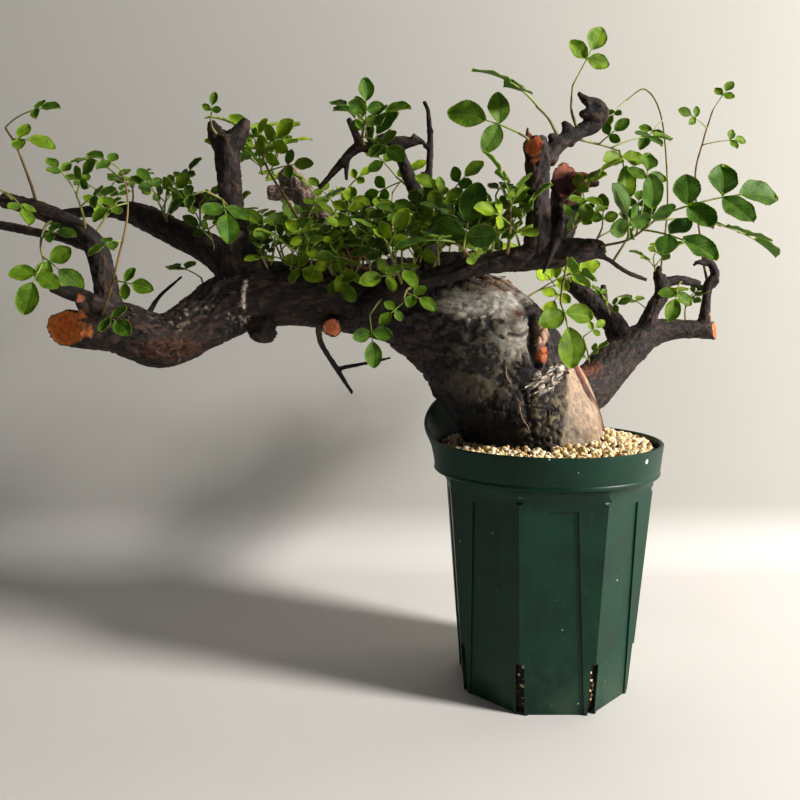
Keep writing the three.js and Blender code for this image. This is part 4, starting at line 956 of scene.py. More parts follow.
def wood_piece():
    points, quads = rough_wood()
    normals = normals_of(points, quads)
    radius, grain, owner = nearest_wood(points)
    cut, cut_colour, cut_reach = cut_masks(points, normals)
    bark = 1 - cut
    x, y, z = points.T
    front = rise(0.05, 0.45, -normals[:, 1])
    trunk = (owner == 0) & (x > LIMB_FROM)
    limb = (owner == 0) & ~trunk

    wander = layered(points / 9, 3, 11)
    fine = layered(points / 2.4, 3, 23)
    broad = layered(points / 26, 2, 31)
    stretched = grain / np.array([2.0, 2.0, 9.0]) * (3.2 / (1.6 + 0.12 * radius))[:, None]
    fibre = layered(stretched, 3, 41)
    plate_edge, plate_mark = cells(points / 6.5 + 0.35 * np.column_stack([wander, fine, wander]), 51)
    chip_edge, chip_mark = cells(grain / np.array([2.6, 2.6, 5.5]) + 0.2 * wander[:, None], 61)

    # Regions of the old trunk, wandering into each other
    ragged = 0.55 * wander + 0.3 * fine
    face = trunk * front
    behind = trunk * rise(6, 14, y) * rise(-0.25, 0.35, wander + 0.3 * broad)
    silver_and_highlight = np.maximum(patch(x, z, SILVER_AND_HIGHLIGHT, ragged, 0.3) * face, behind)
    olive = patch(x, z, OLIVE, ragged, 0.3) * face
    silver_side = patch(x, z, SILVER_SIDE, ragged, 0.5) * face
    low_olive = patch(x, z, LOW_OLIVE, ragged, 0.4) * face
    flank = patch(x, z, FLANK, ragged, 0.5) * trunk
    pale_knobs = patch(x, z, PALE_KNOBS, 0.3 * ragged, 0.25) * face
    threads = noise(grain / np.array([1.6, 1.6, 7]), 77)
    peel = patch(x, z, PEEL, ragged, 0.25) * trunk * rise(0.0, 0.25, threads + 0.1)
    scar = patch(x, z, SCAR, 0.5 * ragged, 0.25) * face
    pale_from = 2 + 0.16 * (z - 132) + 4 * wander + 2 * fine
    pale = rise(-1.2, 1.8, x - pale_from) * rise(178, 167, z + 8 * wander + 4 * fine)
    pale = pale * trunk * rise(26, 16, y)
    mottle = patch(x, z, MOTTLE, ragged, 0.4) * face * (1 - pale)
    dash_x, dash_z, dash_length, dash_height, dash_turn = DASHES
    along_dash = (x - dash_x) * math.cos(dash_turn) + (z - dash_z) * math.sin(dash_turn)
    up_dash = -(x - dash_x) * math.sin(dash_turn) + (z - dash_z) * math.cos(dash_turn)
    dash_zone = 1 - np.hypot(along_dash / dash_length, up_dash / dash_height) + 0.5 * ragged
    dash_zone = rise(-0.3, 0.3, dash_zone) * face
    dash = noise(np.column_stack([along_dash / 6.5, (up_dash + 1.2 * wander) / 1.25, y * 0]), 71)
    dash_white = dash_zone * rise(0.06, 0.2, dash)
    dash_black = dash_zone * (1 - rise(-0.16, 0.0, dash))
    smooth = np.clip(silver_and_highlight + 0.9 * olive + 0.7 * low_olive, 0, 1)
    flaky = trunk * (1 - smooth) * (1 - pale)

    def reach_of(mark):
        return to_line(x, z, mark[0]) / mark[1]

    crevice = 1 - rise(0.45, 1.15, reach_of(CREVICE) - 0.35 * wander)
    crease = 1 - rise(0.3, 1.2, reach_of(CREASE) - 0.3 * wander)
    blotch = rise(0.0, 0.07, layered(points / 4.2, 4, 55) - 0.36 * reach_of(BLOTCHES) + 0.2)
    low_crack = 1 - rise(0.3, 1.1, reach_of(LOW_CRACK) - 0.5 * wander)
    marks = (crevice, crease, blotch, low_crack)
    crevice, crease, blotch, low_crack = (mask * trunk * front for mask in marks)
    wound = patch(x, z, WOUND, 0.3 * wander, 0.3) * face

    limb_crack = 1 - rise(0.012, 0.065, np.abs(noise(grain / np.array([11, 11, 3.1]), 81)))
    crack_zone = patch(x, z, LIMB_CRACKS, 0.5 * wander) * limb * front
    limb_crack *= crack_zone * rise(-0.15, 0.15, wander + 0.3 * fine)
    strip_reach = near_line(points, STRIP[0]) / STRIP[1]
    strip = (1 - rise(0.7, 1.0, strip_reach + 0.2 * fine)) * (y < 4)
    # A groove on the left side of the strip, away from the light, painted dark as painted shadow
    strip_groove_and_shadow = (1 - rise(1.3, 1.9, strip_reach + 0.3 * fine)) * (1 - strip) * (x < 12 + 0.45 * (174 - z))
    scratch = 1 - rise(0.5, 1.0, near_line(points, SCRATCH[0]) / SCRATCH[1] + 0.3 * fine)
    rust_patch = rise(-0.3, 0.4, 1 - near_line(points, RUST_PATCH[0]) / RUST_PATCH[1] + 0.5 * wander)
    painted_highlight = patch(x, z, PAINTED_HIGHLIGHT, 0.4 * wander, 0.5) * face
    limb_brown = patch(x, z, LIMB_BROWN, 0.6 * wander) * limb * front

    # Height of the bark over the smooth wood
    size = np.minimum(radius, 16)
    height = 0.05 * radius * broad * np.where(radius > 8, 1, 0.6)
    height += 0.05 * size * fibre * (1 - 0.9 * smooth) * (1 - 0.8 * pale)
    height += 0.16 * fine * (1 - 0.5 * smooth)
    height += flaky * ((plate_mark - 0.45) * 1.5 - 0.9 * (1 - rise(0.02, 0.16, plate_edge)))
    chips = np.where(radius > 5, 1, radius / 5) * ~trunk
    height += chips * ((chip_mark - 0.5) * 0.7 - 0.5 * (1 - rise(0.02, 0.14, chip_edge)))
    wrinkle = noise(np.column_stack([x / 14, y / 14, z / 2.0 + x / 9]), 91)
    height += 0.2 * smooth * wrinkle + 0.5 * smooth * wander + 0.6 * peel
    height += 0.5 * mottle * rise(-0.2, 0.2, fine)
    height -= CREVICE[2] * crevice + CREASE[2] * crease + BLOTCHES[2] * blotch + LOW_CRACK[2] * low_crack
    height += 0.8 * dash_white - 0.7 * dash_black + 0.25 * limb_crack - 0.5 * wound
    height += 0.7 * strip - 0.9 * strip_groove_and_shadow + 0.5 * scratch
    for knob_x, knob_z, reach, rise_by in KNOBS:
        away = np.hypot(x - knob_x, z - knob_z) / reach
        height += rise_by * np.exp(-(away**2) * 1.6) * trunk * front
    cut_rings = np.sin(cut_reach * 16 + 2 * wander)
    height = height * bark + cut * (0.12 * cut_rings + 0.18 * fine - 0.35)
    limit = 0.35 * radius + 0.1
    height = np.clip(height, -limit, limit)
    points = points + height[:, None] * normals

    # Colour of the bark
    dark, black = srgb(42, 33, 29), srgb(13, 11, 11)
    brown, plum, khaki = srgb(80, 58, 44), srgb(62, 50, 48), srgb(122, 110, 84)
    silver_grey, olive_grey, beige = srgb(218, 208, 192), srgb(100, 94, 74), srgb(142, 128, 106)
    rust, bone, peach = srgb(190, 106, 60), srgb(222, 210, 194), srgb(192, 156, 128)
    scar_red, limb_tan, highlight_white = srgb(110, 52, 34), srgb(92, 58, 38), srgb(250, 244, 232)
    orange_bark, strip_low, strip_highlight = srgb(150, 92, 64), srgb(80, 32, 17), srgb(140, 62, 32)
    strip_shadow_brown, horn_red, lit_brown = srgb(52, 22, 14), srgb(112, 42, 24), srgb(132, 86, 60)
    painted_light_grey = srgb(160, 140, 128)
    wet = rise(-0.2, 0.5, layered(points / 14, 3, 15))
    colour = np.broadcast_to(dark, (len(points), 3)).copy()

    def coat(tone, share):
        nonlocal colour
        colour = mixed(colour, tone, share)

    coat(brown, rise(-0.1, 0.5, fibre) * 0.7)
    coat(plum, rise(0.0, 0.5, broad) * 0.6)
    coat(khaki, rise(0.25, 0.6, fine) * 0.35 * wet)
    coat(black, (chip_mark < 0.36) * 0.65 * ~trunk)
    coat(brown, (chip_mark > 0.8) * 0.5 * ~trunk)
    coat(plum, flaky * (plate_mark > 0.6) * 0.6)
    coat(black, flaky * (plate_mark < 0.5) * 0.8)
    coat(plum * 1.25, flank * rise(-0.05, 0.2, fine + 0.5 * wander) * 0.7)
    # Painted shade: the lower left of the trunk, turned from the light, is painted near black
    low = rise(166, 150, z + 7 * wander) * rise(-6, -14, x + 4 * fine) * trunk
    coat(black, low * 0.9)
    coat(khaki * 0.5, low_olive * 0.85)
    coat(olive_grey * (0.6 + 0.6 * wet[:, None]), olive * 0.95)
    coat(silver_grey * 0.72, silver_side * 0.62)
    # Silver bark, pale enough to be partly a painted highlight on the top front
    coat(silver_grey * (0.85 + 0.2 * wrinkle[:, None]), silver_and_highlight)
    speckle = rise(0.17, 0.26, fine + 0.4 * wander)
    coat(olive_grey, behind * rise(-0.2, 0.3, wander) * 0.55)
    coat(dark, smooth * speckle * (0.85 - 0.6 * behind))
    coat(beige * (0.86 + 0.3 * wet[:, None]), pale)
    coat(brown, pale * rise(0.18, 0.42, fine + 0.2 * wander) * 0.6)
    pale_low = pale * rise(152, 138, z + 4 * wander)
    coat(dark, pale_low * rise(0.02, 0.14, fine + 0.2 * wander) * 0.75)
    coat(peach, pale * rise(6, 16, x - 0.45 * (174 - z) + 14) * 0.35)
    coat(khaki, mottle * rise(0.0, 0.2, fine + 0.3 * wander) * 0.85)
    coat(black, mottle * rise(0.02, 0.2, -fine - 0.2 * wander) * 0.9)
    coat(black, blotch * 0.95)
    coat(peach, pale_knobs * 0.8)
    # Painted shade: the crevice, the crease under the knob and the low crack are painted near black
    coat(black, np.maximum.reduce([crevice, crease * 0.8, low_crack * 0.7]))
    coat(peach, peel * 0.85)
    coat(scar_red, scar)
    coat(bone, dash_white * 0.9)
    coat(black, dash_black * 0.9)
    coat(rust, wound)
    coat(bone, limb_crack * 0.62)
    coat(limb_tan, limb_brown * 0.55)
    # Painted highlight: the top front of the trunk is painted near white
    coat(highlight_white, painted_highlight * 0.96 * (1 - 0.6 * speckle))
    coat(orange_bark, rust_patch * 0.5)
    # Painted shadow along the left of the peeled strip, and a painted highlight on the strip's upper part
    coat(strip_shadow_brown, strip_groove_and_shadow)
    strip_highlight_share = rise(158, 172, z + 3 * fine)[:, None]
    coat(strip_low * (1 - strip_highlight_share) + strip_highlight * strip_highlight_share, strip)
    coat(bone, scratch)
    horn = near_spot(points, HORN)
    coat(horn_red, horn * rise(16, 6, x + 2 * fine) * 0.9)
    lit_stub = near_spot(points, LIT_STUB)
    coat(lit_brown, lit_stub * (z > 219) * rise(-0.5, 0.3, fibre + 0.3))
    # Painted light: the upper part of the rear knob is painted pale grey, as if lit from above
    painted_light_knob = np.isin(owner, [list(WOOD_LINES).index(name) for name in ("rearKnob", "rearKnobSide")])
    painted_light_knob = painted_light_knob * rise(232, 266, z + 5 * wander)
    coat(painted_light_grey, painted_light_knob * (1 - cut) * (0.7 + 0.25 * wet))
    seams = (1 - rise(0.02, 0.12, chip_edge)) * ~trunk + (1 - rise(0.02, 0.12, plate_edge)) * flaky
    coat(black, np.clip(seams, 0, 1) * 0.6)
    cut_grain = cut_colour * (1 + 0.42 * fine + 0.12 * cut_rings)[:, None]
    cut_dark = rise(0.3, 0.5, layered(points / 3.3, 2, 97))
    cut_grain = mixed(cut_grain, cut_grain * 0.35, cut_dark * 0.7)
    coat(np.clip(cut_grain, 0, 1), cut)
    gloss = np.clip(0.3 + 0.5 * smooth + 0.3 * pale + 0.2 * cut, 0, 1)
    even = np.clip(smooth + 0.8 * pale + 0.6 * cut, 0, 1)

    add_flakes(points, normals_of(points, quads), dict(
        white=dash_zone, peel=peel, limb=limb * front * rise(0.0, 0.3, wander), dark=flaky * face,
    ))
    add_fibres(points, normals)
    full = mesh_object("wood_full", points, [quads], 1)
    for name, values in dict(grain=grain, tint=colour, gloss=gloss, even=even).items():
        write_attribute(full, name, values)
    thin = full.modifiers.new("fewer", "DECIMATE")
    thin.ratio = min(1, WOOD_TRIANGLES / (2 * len(quads)))
    wood = with_modifiers(full, "wood")
    to_metres(wood)
    wood.data.materials.append(bark_material())
    dress(wood, "bark", "trunk")


# Loose scales of bark by kind: how many, how pale, length, slimmest width for the length
FLAKES = {
    "white": (34, 0.95, 3.8, 0.12),
    "peel": (26, 0.75, 3.8, 0.26),
    "limb": (50, 0.3, 3, 0.26),
    "dark": (70, 0.12, 3, 0.26),
}
FLAKE_GRID = (6, 4)
FLAKE_THICKNESS = 0.24
WHITE_SLOPE = 0.5


def add_flakes(points, normals, zones):
    """Thin curled scales of bark that stand a little off the wood."""
    pile = Pile()
    rows, columns = np.linspace(0, 1, FLAKE_GRID[0]), np.linspace(-1, 1, FLAKE_GRID[1])
    t, u = (grid.ravel() for grid in np.meshgrid(rows, columns, indexing="ij"))
    faces = blade_faces(*FLAKE_GRID)
    for number, (name, (count, tone, longest, slimmest)) in enumerate(FLAKES.items()):
        places = np.flatnonzero(zones[name] > 0.5)
        for pick, turn in zip(picks_for(count, number, 5, 300), picks_for(count, number, 9, 301)):
            spot = places[int(pick[0] * (len(places) - 1))]
            out = normals[spot]
            slope = WHITE_SLOPE if name == "white" else 6.28 * turn[0]
            ahead = np.array([math.cos(slope), 0.1, math.sin(slope)])
            ahead = unit(ahead - ahead.dot(out) * out)
            aside = np.cross(out, ahead)
            length = longest * (0.5 + 0.9 * pick[1])
            width = length * (slimmest + 0.22 * turn[1])
            edge = width / 2 * (0.5 + 0.7 * np.sin(np.pi * (0.12 + 0.76 * t)))
            edge = edge * (1 + 0.25 * np.sin(9 * t + 6 * pick[2]))
            lift = (0.15 + 1.1 * turn[2]) * t**2 + 0.12 + 0.18 * u**2
            top = (points[spot] + (t - 0.5)[:, None] * length * ahead + (u * edge)[:, None] * aside
                   + lift[:, None] * out)
            pile.add(np.vstack([top, top - FLAKE_THICKNESS * out]), faces, 0,
                     tone=np.clip(tone + 0.25 * (turn[0] - 0.5), 0, 1))
    dress(pile.piece("bark_flakes", [flake_material()]), "bark")


def add_fibres(points, normals):
    """Loose pale fibres that lie on the trunk."""
    pile = Pile()
    for line in FIBRES:
        places = []
        for spot in np.array(line, float):
            nearest = np.argmin(((points - spot) ** 2).sum(axis=1))
            places.append(points[nearest] + 0.4 * normals[nearest])
        run = line_along(np.column_stack([places, np.full(len(places), 0.3)]), 1.0)
        surface, faces = tube(run, 8)
        pile.add(surface, faces, 0, tone=0.68)
    dress(pile.piece("bark_fibres", [flake_material()]), "bark")


def flake_material():
    paint = Paint("bark_flake")
    tone = paint.value("tone")
    place = paint.place()
    cloud = paint.noise(place, 500, 4, 0.6)
    scale = paint.ramp(tone, [
        (0.0, srgb(22, 17, 16)), (0.3, srgb(66, 48, 38)), (0.6, srgb(142, 106, 80)),
        (1.0, srgb(222, 208, 190)),
    ])
    colour = paint.mix(paint.step(cloud, 0.35, 0.65, 0.0, 0.5), scale, srgb(60, 44, 36))
    return paint.finish(colour, paint.step(cloud, 0.2, 0.8, 0.6, 0.85), cloud, 0.0003, 0.7)


# Leaves: thin curved blades with veins and scalloped edges on slim round stalks

BLADE_CENTRE = 0.35
SKIN = 0.32
STALK = 0.36
STALK_POINTS = 8
EDGE_WIDTH = 0.16
MIDDLE_LEAFLET = 10
LARGE_GRID, MIDDLE_GRID, SMALL_GRID = (31, 13), (15, 9), (13, 7)
STOUT_STEM = 1.3
WOODY_STEM = 1.05
SLENDER = 0.62

# Streams of numbers: the first is the one that the solids draw from
SHOOT_SEED = 100
DETAIL_SEED = 7000
LONE_SEED = 8800
TWIG_SEED = 9100


def leaf_placer(start, tip, face, roll):
    """How the plan of a leaf lies in space: the same arch and roll as its solid."""
    chord = tip - start
    distance = np.linalg.norm(chord)
    along = chord / distance
    up = unit(face - along * along.dot(face))
    turn = LEAF_ROLL * (roll - 0.5)
    up = up * math.cos(turn) + np.cross(along, up) * math.sin(turn)
    across = np.cross(up, along)
    half = LEAF_ARCH / 2
    reach = distance * half / math.sin(half)
    forward = along * math.cos(half) + up * math.sin(half)
    upward = up * math.cos(half) - along * math.sin(half)
    radius = reach / LEAF_ARCH

    def place(plan):
        x, y, z = np.asarray(plan, float).T
        angle = LEAF_ARCH * x / reach
        ahead = (radius + z) * np.sin(angle)
        above = z * np.cos(angle) - radius * (1 - np.cos(angle))
        return start + ahead[:, None] * forward + above[:, None] * upward + y[:, None] * across

    return place, reach


def leaflet_shape(share):
    """Half width of a leaflet along it, as a share of its widest."""
    share = np.clip(share, 0, 1)
    return np.clip(np.sin(np.pi * share**0.97), 0, 1) ** (0.78 - 0.2 * share)


def leaflet(pile, place, base, heading, length, lift, waves, large, tint, extra):
    """One leaflet as a thin closed blade. extra draws what the solid doesn't have."""
    rows, columns = LARGE_GRID if large else MIDDLE_GRID if length > MIDDLE_LEAFLET else SMALL_GRID
    t = np.linspace(0, 1, rows)
    u = np.linspace(-1, 1, columns)
    stations = [0.2, 0.52, 0.84] if large else [0.28, 0.74]
    teeth = 9 if large else 7
    phase = 6.28 * extra()
    half = np.zeros((2, rows))
    for side in (0, 1):
        wave = np.interp(t, [0, *stations, 1], [1, *waves[side], 1])
        tooth = np.abs(np.sin(np.pi * teeth * t + phase + side)) ** 0.7 - 0.62
        scallop = 1 + (0.06 if large else 0.07) * tooth * rise(0.12, 0.3, t)
        half[side] = LEAFLET_WIDTH * length * leaflet_shape(t) * wave * scallop
    half = np.maximum(half, EDGE_WIDTH)
    width = np.where(u[None, :] < 0, half[0][:, None], half[1][:, None])
    across = width * u[None, :]
    rows_in = np.broadcast_to(t[:, None], across.shape)
    aside = np.abs(np.broadcast_to(u[None, :], across.shape))
    cup = CUP * (0.4 + 1.6 * extra())
    bend = TIP_DROOP * (0.3 + 3.2 * extra())
    ripple = np.sin(2 * np.pi * (2.3 * rows_in + 0.4 * extra()) + 3 * np.sign(u)[None, :])
    height = length * (cup * aside**1.6 - bend * rows_in**2.4 + 0.018 * ripple * aside**2)
    if large:
        vein = np.abs(((rows_in - 0.34 * aside) * 6.5) % 1 - 0.5) * 2
        height += 0.012 * length * (1 - vein) ** 0.5 * aside * (1 - aside) * 1.6
    height += -0.012 * length * np.exp(-((aside / 0.12) ** 2))
    x = base[0] + rows_in * length * math.cos(heading) - across * math.sin(heading)
    y = base[1] + rows_in * length * math.sin(heading) + across * math.cos(heading)
    z = height + rows_in * length * lift + BLADE_CENTRE
    top = np.column_stack([x.ravel(), y.ravel(), z.ravel() + SKIN / 2])
    low = top - [0, 0, SKIN]
    flat = [np.broadcast_to(u, across.shape).ravel(), rows_in.ravel(), np.full(across.size, tint)]
    flat = np.column_stack(flat)
    pile.add(
        np.vstack([place(top), place(low)]), blade_faces(rows, columns), 0,
        leaf=np.vstack([flat, flat]), under=np.repeat([0.0, 1.0], across.size),
    )


def stalk_tube(pile, points, radii, tone, sides=7):
    """A slim round stalk through points."""
    line = np.column_stack([points, radii])
    run = line_along(line, 1.6)
    surface, faces = tube(run, sides)
    pile.add(surface, faces, 1, tone=tone)


def compound_leaf(pile, start, tip, face, count, length, random, extra, tint):
    place, reach = leaf_placer(start, tip, np.asarray(face, float), random())
    large = length >= LARGE_LEAFLET
    draws = 3 if large else 2
    half = STALK_WIDTH / 2
    pairs = (count - 1) // 2
    last_pair = reach - END_STALK * length
    first_pair = last_pair - (pairs - 1) * PAIR_SPACING * length

    def waves():
        right = [1 + 0.16 * (random() - 0.5) for _ in range(draws)]
        left = [1 + 0.16 * (random() - 0.5) for _ in range(draws)]
        return right, left

    for pair in range(pairs):
        at = first_pair + pair * PAIR_SPACING * length
        size = length * (PAIR_SIZE + 0.1 * random() + 0.06 * pair)
        spread = PAIR_SPREAD + 0.2 * random()
        lift = 0.35 * (random() - 0.35)
        for sign in (1, -1):
            shade = tint + 0.14 * (extra() - 0.5)
            base = (at, sign * 0.4 * half)
            leaflet(pile, place, base, sign * spread, size, lift, waves(), large, shade, extra)
    leaflet(pile, place, (reach - length, 0), 0, length, 0, waves(), large, tint, extra)
    along = np.linspace(0, reach - length * 0.92, STALK_POINTS)
    centre = place(np.column_stack([along, 0 * along, 0 * along + BLADE_CENTRE]))
    thick = STALK * (1.15 if large else 0.9)
    stalk_tube(pile, centre, np.linspace(thick * 1.25, thick * 0.8, STALK_POINTS), 0.05 + 0.2 * extra())


def along_stem(points, share):
    place = share * (len(points) - 1)
    span = min(int(place), len(points) - 2)
    return points[span] + (points[span + 1] - points[span]) * (place - span)


def shoot_piece(index, name, radius, yellow_and_light, stem, leaves, materials):
    random = random_stream(SHOOT_SEED + index)
    extra = random_stream(DETAIL_SEED + index)
    pile = Pile()
    stem = np.array(stem, float)
    for share, x, y, z, count, length, face in leaves:
        own = yellow_and_light + 0.4 * (extra() - 0.5)
        compound_leaf(pile, along_stem(stem, share), np.array([x, y, z], float), face, count, length,
                      random, extra, own)
    slender = SLENDER if radius > STOUT_STEM else 1
    slim = slender * radius * (0.82 - 0.36 * np.linspace(0, 1, len(stem)) ** 0.7)
    stalk_tube(pile, stem, slim, 0.85 if radius > WOODY_STEM else 0.6, 10)
    dress(pile.piece("leaves_" + name, materials), "leaf", "shoot_" + name)


# Short leafy twigs between the shoots: [root, tip, leaflet length, leaves, yellowness]. The yellowness
# is partly the leaves' own colour and partly painted light.
TWIGS = [
    [(-150, -6, 219), (-147, 0, 241), 8, 3, 0.3], [(-141, -22, 219), (-136, -34, 236), 8.5, 3, 0.2],
    [(-130, -2, 220), (-125, 6, 247), 8, 4, 0.25], [(-120, -24, 217), (-118, -36, 229), 9, 2, 0.75],
    [(-112, -2, 219), (-108, 4, 248), 8, 4, 0.2], [(-104, -22, 218), (-101, -30, 240), 8, 3, 0.35],
    [(-97, -4, 220), (-92, 2, 250), 8.5, 4, 0.2], [(-88, -24, 219), (-84, -34, 235), 8, 3, 0.3],
    [(-80, -4, 222), (-81, 8, 260), 10, 3, 0.6], [(-72, -26, 217), (-66, -42, 236), 10, 3, 0.3],
    [(-62, -24, 216), (-54, -42, 234), 10, 3, 0.25], [(-52, -4, 214), (-49, 4, 244), 9, 4, 0.2],
    [(-44, -48, 219), (-41, -56, 238), 10, 3, 0.2], [(-31, -50, 222), (-34, -52, 250), 9, 3, 0.3],
    [(-22, -52, 224), (-29, -60, 243), 9, 3, 0.15], [(-118, 38, 244), (-106, 32, 266), 9, 4, 0.5],
    [(-158, -6, 219), (-166, 4, 245), 8, 4, 0.3], [(-184, 8, 233), (-181, 4, 254), 8, 3, 0.35],
    [(-205, 23, 244), (-201, 18, 264), 8, 3, 0.4], [(-228, 36, 253), (-225, 32, 269), 8, 3, 0.45],
    [(-222, -34, 234), (-212, -30, 250), 7, 3, 0.3], [(-170, -10, 222), (-176, -6, 244), 8, 3, 0.25],
    [(38, 60, 160), (33, 60, 184), 8, 3, 0.4], [(56, 84, 192), (48, 72, 206), 8, 3, 0.35],
    [(85, 84, 214), (79, 78, 232), 9, 3, 0.3], [(104, 88, 192), (106, 92, 207), 8, 3, 0.4],
    [(-10, 8, 206), (8, 14, 213), 12, 3, 0.95], [(-8, -50, 226), (4, -56, 240), 8, 3, 0.2],
    [(20, -49, 221), (28, -52, 236), 9, 3, 0.3], [(-92, 0, 216), (-100, 16, 236), 8, 4, 0.3],
    [(-134, -4, 220), (-141, 14, 240), 8, 4, 0.3], [(-40, 4, 212), (-30, 18, 238), 9, 4, 0.35],
    [(-108, -26, 213), (-105, -40, 215), 9, 2, 1.0], [(-149, 10, 270), (-149, 8, 277), 10, 3, 0.6],
    [(-149, 10, 276), (-152, 6, 288), 9, 3, 0.7], [(-147, 10, 268), (-140, 6, 280), 10, 3, 0.6],
    [(-140, -24, 216), (-144, -32, 226), 7, 3, 0.2], [(-131, -24, 216), (-128, -34, 228), 8, 3, 0.35],
    [(-119, -24, 216), (-117, -30, 233), 8, 3, 0.2], [(-110, -24, 216), (-113, -32, 229), 7, 3, 0.25],
    [(-99, -26, 216), (-96, -34, 230), 8, 3, 0.3], [(-90, -28, 212), (-91, -38, 226), 8, 3, 0.15],
    [(-81, -34, 210), (-79, -44, 226), 8, 3, 0.3], [(-70, -42, 214), (-70, -50, 228), 8, 3, 0.2],
    [(-59, -46, 218), (-60, -52, 230), 8, 3, 0.3], [(-48, -48, 220), (-50, -54, 233), 8, 3, 0.15],
    [(-36, -50, 222), (-37, -57, 235), 8, 3, 0.25], [(-76, -24, 214), (-74, -34, 242), 9, 4, 0.25],
    [(-122, 0, 216), (-126, 6, 236), 9, 4, 0.3], [(-64, -14, 230), (-58, -26, 246), 9, 4, 0.3],
]
TWIGS_TOGETHER = 8

# Single leaves that stand out: [foot, tip, leaflets, leaflet length, the way it faces, yellowness]. The
# yellowness is partly the leaves' own colour and partly painted light.
LONE_LEAVES = [
    [(-90.6, -20, 277.5), (-77.9, -30, 292.0), 3, 14, FRONT, 0.15],
    [(-95.4, -20, 285.1), (-106.5, -26, 296.6), 3, 10, UP, 0.3],
    [(-92.5, -20, 281.3), (-97.8, -28, 299.8), 3, 10, FRONT, 0.3],
    [(-100.0, -32, 218.4), (-106.9, -42, 207.7), 3, 10, FRONT, 1.4],
    [(-28.1, -50, 236.1), (-32.5, -54, 254.1), 5, 8, SIDE, 0.8],
    [(-27.2, -50, 237.0), (-22.5, -56, 252.0), 5, 8, SIDE, 0.85],
    [(-0.8, -44, 249.4), (16.1, -50, 260.0), 3, 10, UP, 0.6],
    [(-40.6, -50, 220.9), (-49.5, -58, 233.5), 3, 10, FRONT, 0.4],
    [(-67.7, -44, 221.3), (-59.0, -52, 236.8), 3, 11, FRONT, 0.45],
    [(-126.1, -22, 219.9), (-130.5, -30, 238.3), 3, 11, FRONT, 0.5],
    [(-111.2, -24, 219.8), (-104.3, -36, 234.0), 3, 9, FRONT, 0.6],
]


def lone_leaves(materials):
    pile = Pile()
    for number, (foot, tip, count, length, face, tint) in enumerate(LONE_LEAVES):
        draw = random_stream(LONE_SEED + number)
        compound_leaf(pile, np.array(foot), np.array(tip, float), face, count, length, draw, draw, tint)
    dress(pile.piece("leaves_lone", materials), "leaf")


def twig_pieces(materials):
    """Short leafy twigs, a few to an object, each rooted in the wood."""
    for group in range(0, len(TWIGS), TWIGS_TOGETHER):
        pile = Pile()
        for number, (root, tip, length, leaves, yellow_and_light) in enumerate(TWIGS[group:group + TWIGS_TOGETHER]):
            draw = random_stream(TWIG_SEED + group + number)
            root, tip = np.array(root, float), np.array(tip, float)
            bend = (root + tip) / 2 + 3 * np.array([draw() - 0.5, draw() - 0.5, 0.3])
            stem = np.array([root, bend, tip])
            stalk_tube(pile, stem, [0.62, 0.5, 0.38], 0.5, 8)
            for i in range(leaves):
                share = 1 if i == 0 else 0.35 + 0.55 * draw()
                start = along_stem(stem, share)
                turn = 2.4 * i + 2 * draw()
                lean = 0.35 + 0.5 * draw()
                way = np.array([math.cos(turn) * math.cos(lean), 0.8 * math.sin(turn) * math.cos(lean),
                                math.sin(lean)])
                count = 5 if draw() > 0.6 else 3
                size = length * (0.8 + 0.35 * draw())
                end = start + way * size * (2.2 if count == 3 else 2.9)
                face = (0.3 * (draw() - 0.5), -0.3 - 0.6 * draw(), 0.35 + 0.6 * draw())
                own = 1.35 * yellow_and_light + 0.4 * (draw() - 0.5)
                compound_leaf(pile, start, end, face, count, size, draw, draw, own)
        dress(pile.piece(f"leaves_twigs_{group // TWIGS_TOGETHER + 1}", materials), "leaf")


# Pot: thin moulded plastic with an eight-sided body, sunk panels, corner slits and a round band

SHOULDER = 6
POT_SIDES = 160
EDGE = 0.32
DIMPLE_Z = 109.5
DIMPLE_RINGS = 8
WHITE_DROP = (0.0409, -0.0439, 0.1275)


def body_reach(angle, corner):
    step = 2 * math.pi / SIDES
    from_flat = angle - np.round(angle / step) * step
    return corner * math.cos(step / 2) / np.cos(from_flat)


def corner_radius(z):
    return BODY_BASE_RADIUS + (BODY_TOP_RADIUS - BODY_BASE_RADIUS) * z / BODY_TOP


def bump(angle, centre, spread):
    turn = np.arctan2(np.sin(angle - centre), np.cos(angle - centre))
    return np.exp(-((turn / spread) ** 2))


def pot_ring(z, reach, lift=0.0, count=POT_SIDES):
    """Points of one level, from the front and anticlockwise from above."""
    angle = 2 * np.pi * np.arange(count) / count
    stretch = lift * bump(angle, LIP_ANGLE, LIP_SPREAD)
    flare = lift * bump(angle, FLARE_ANGLE, FLARE_SPREAD)
    radius = reach(angle) + LIP_FLARE * flare
    return np.column_stack([radius * np.sin(angle), -radius * np.cos(angle), z + LIP_RISE * stretch])


def lofted(name, rings):
    return mesh_object(name, *closed_rings(rings), 1)


def turned(points, angle):
    x, y, z = np.asarray(points, float).T
    across, ahead = math.cos(angle), math.sin(angle)
    return np.column_stack([x * across - y * ahead, x * ahead + y * across, z])


def side_block(angle):
    """What is cut away to sink the panel of one flat side."""
    levels = []
    for z, width in ((-1, PANEL_BASE_WIDTH), (PANEL_TOP_Z, PANEL_TOP_WIDTH)):
        wall = corner_radius(z) * math.cos(math.pi / SIDES)
        near, far = wall + 3, wall - PANEL_DEPTH
        corners = [(-width / 2, near), (width / 2, near), (width / 2, far), (-width / 2, far)]
        levels.append(turned([(across, -out, z) for across, out in corners], angle))
    return levels


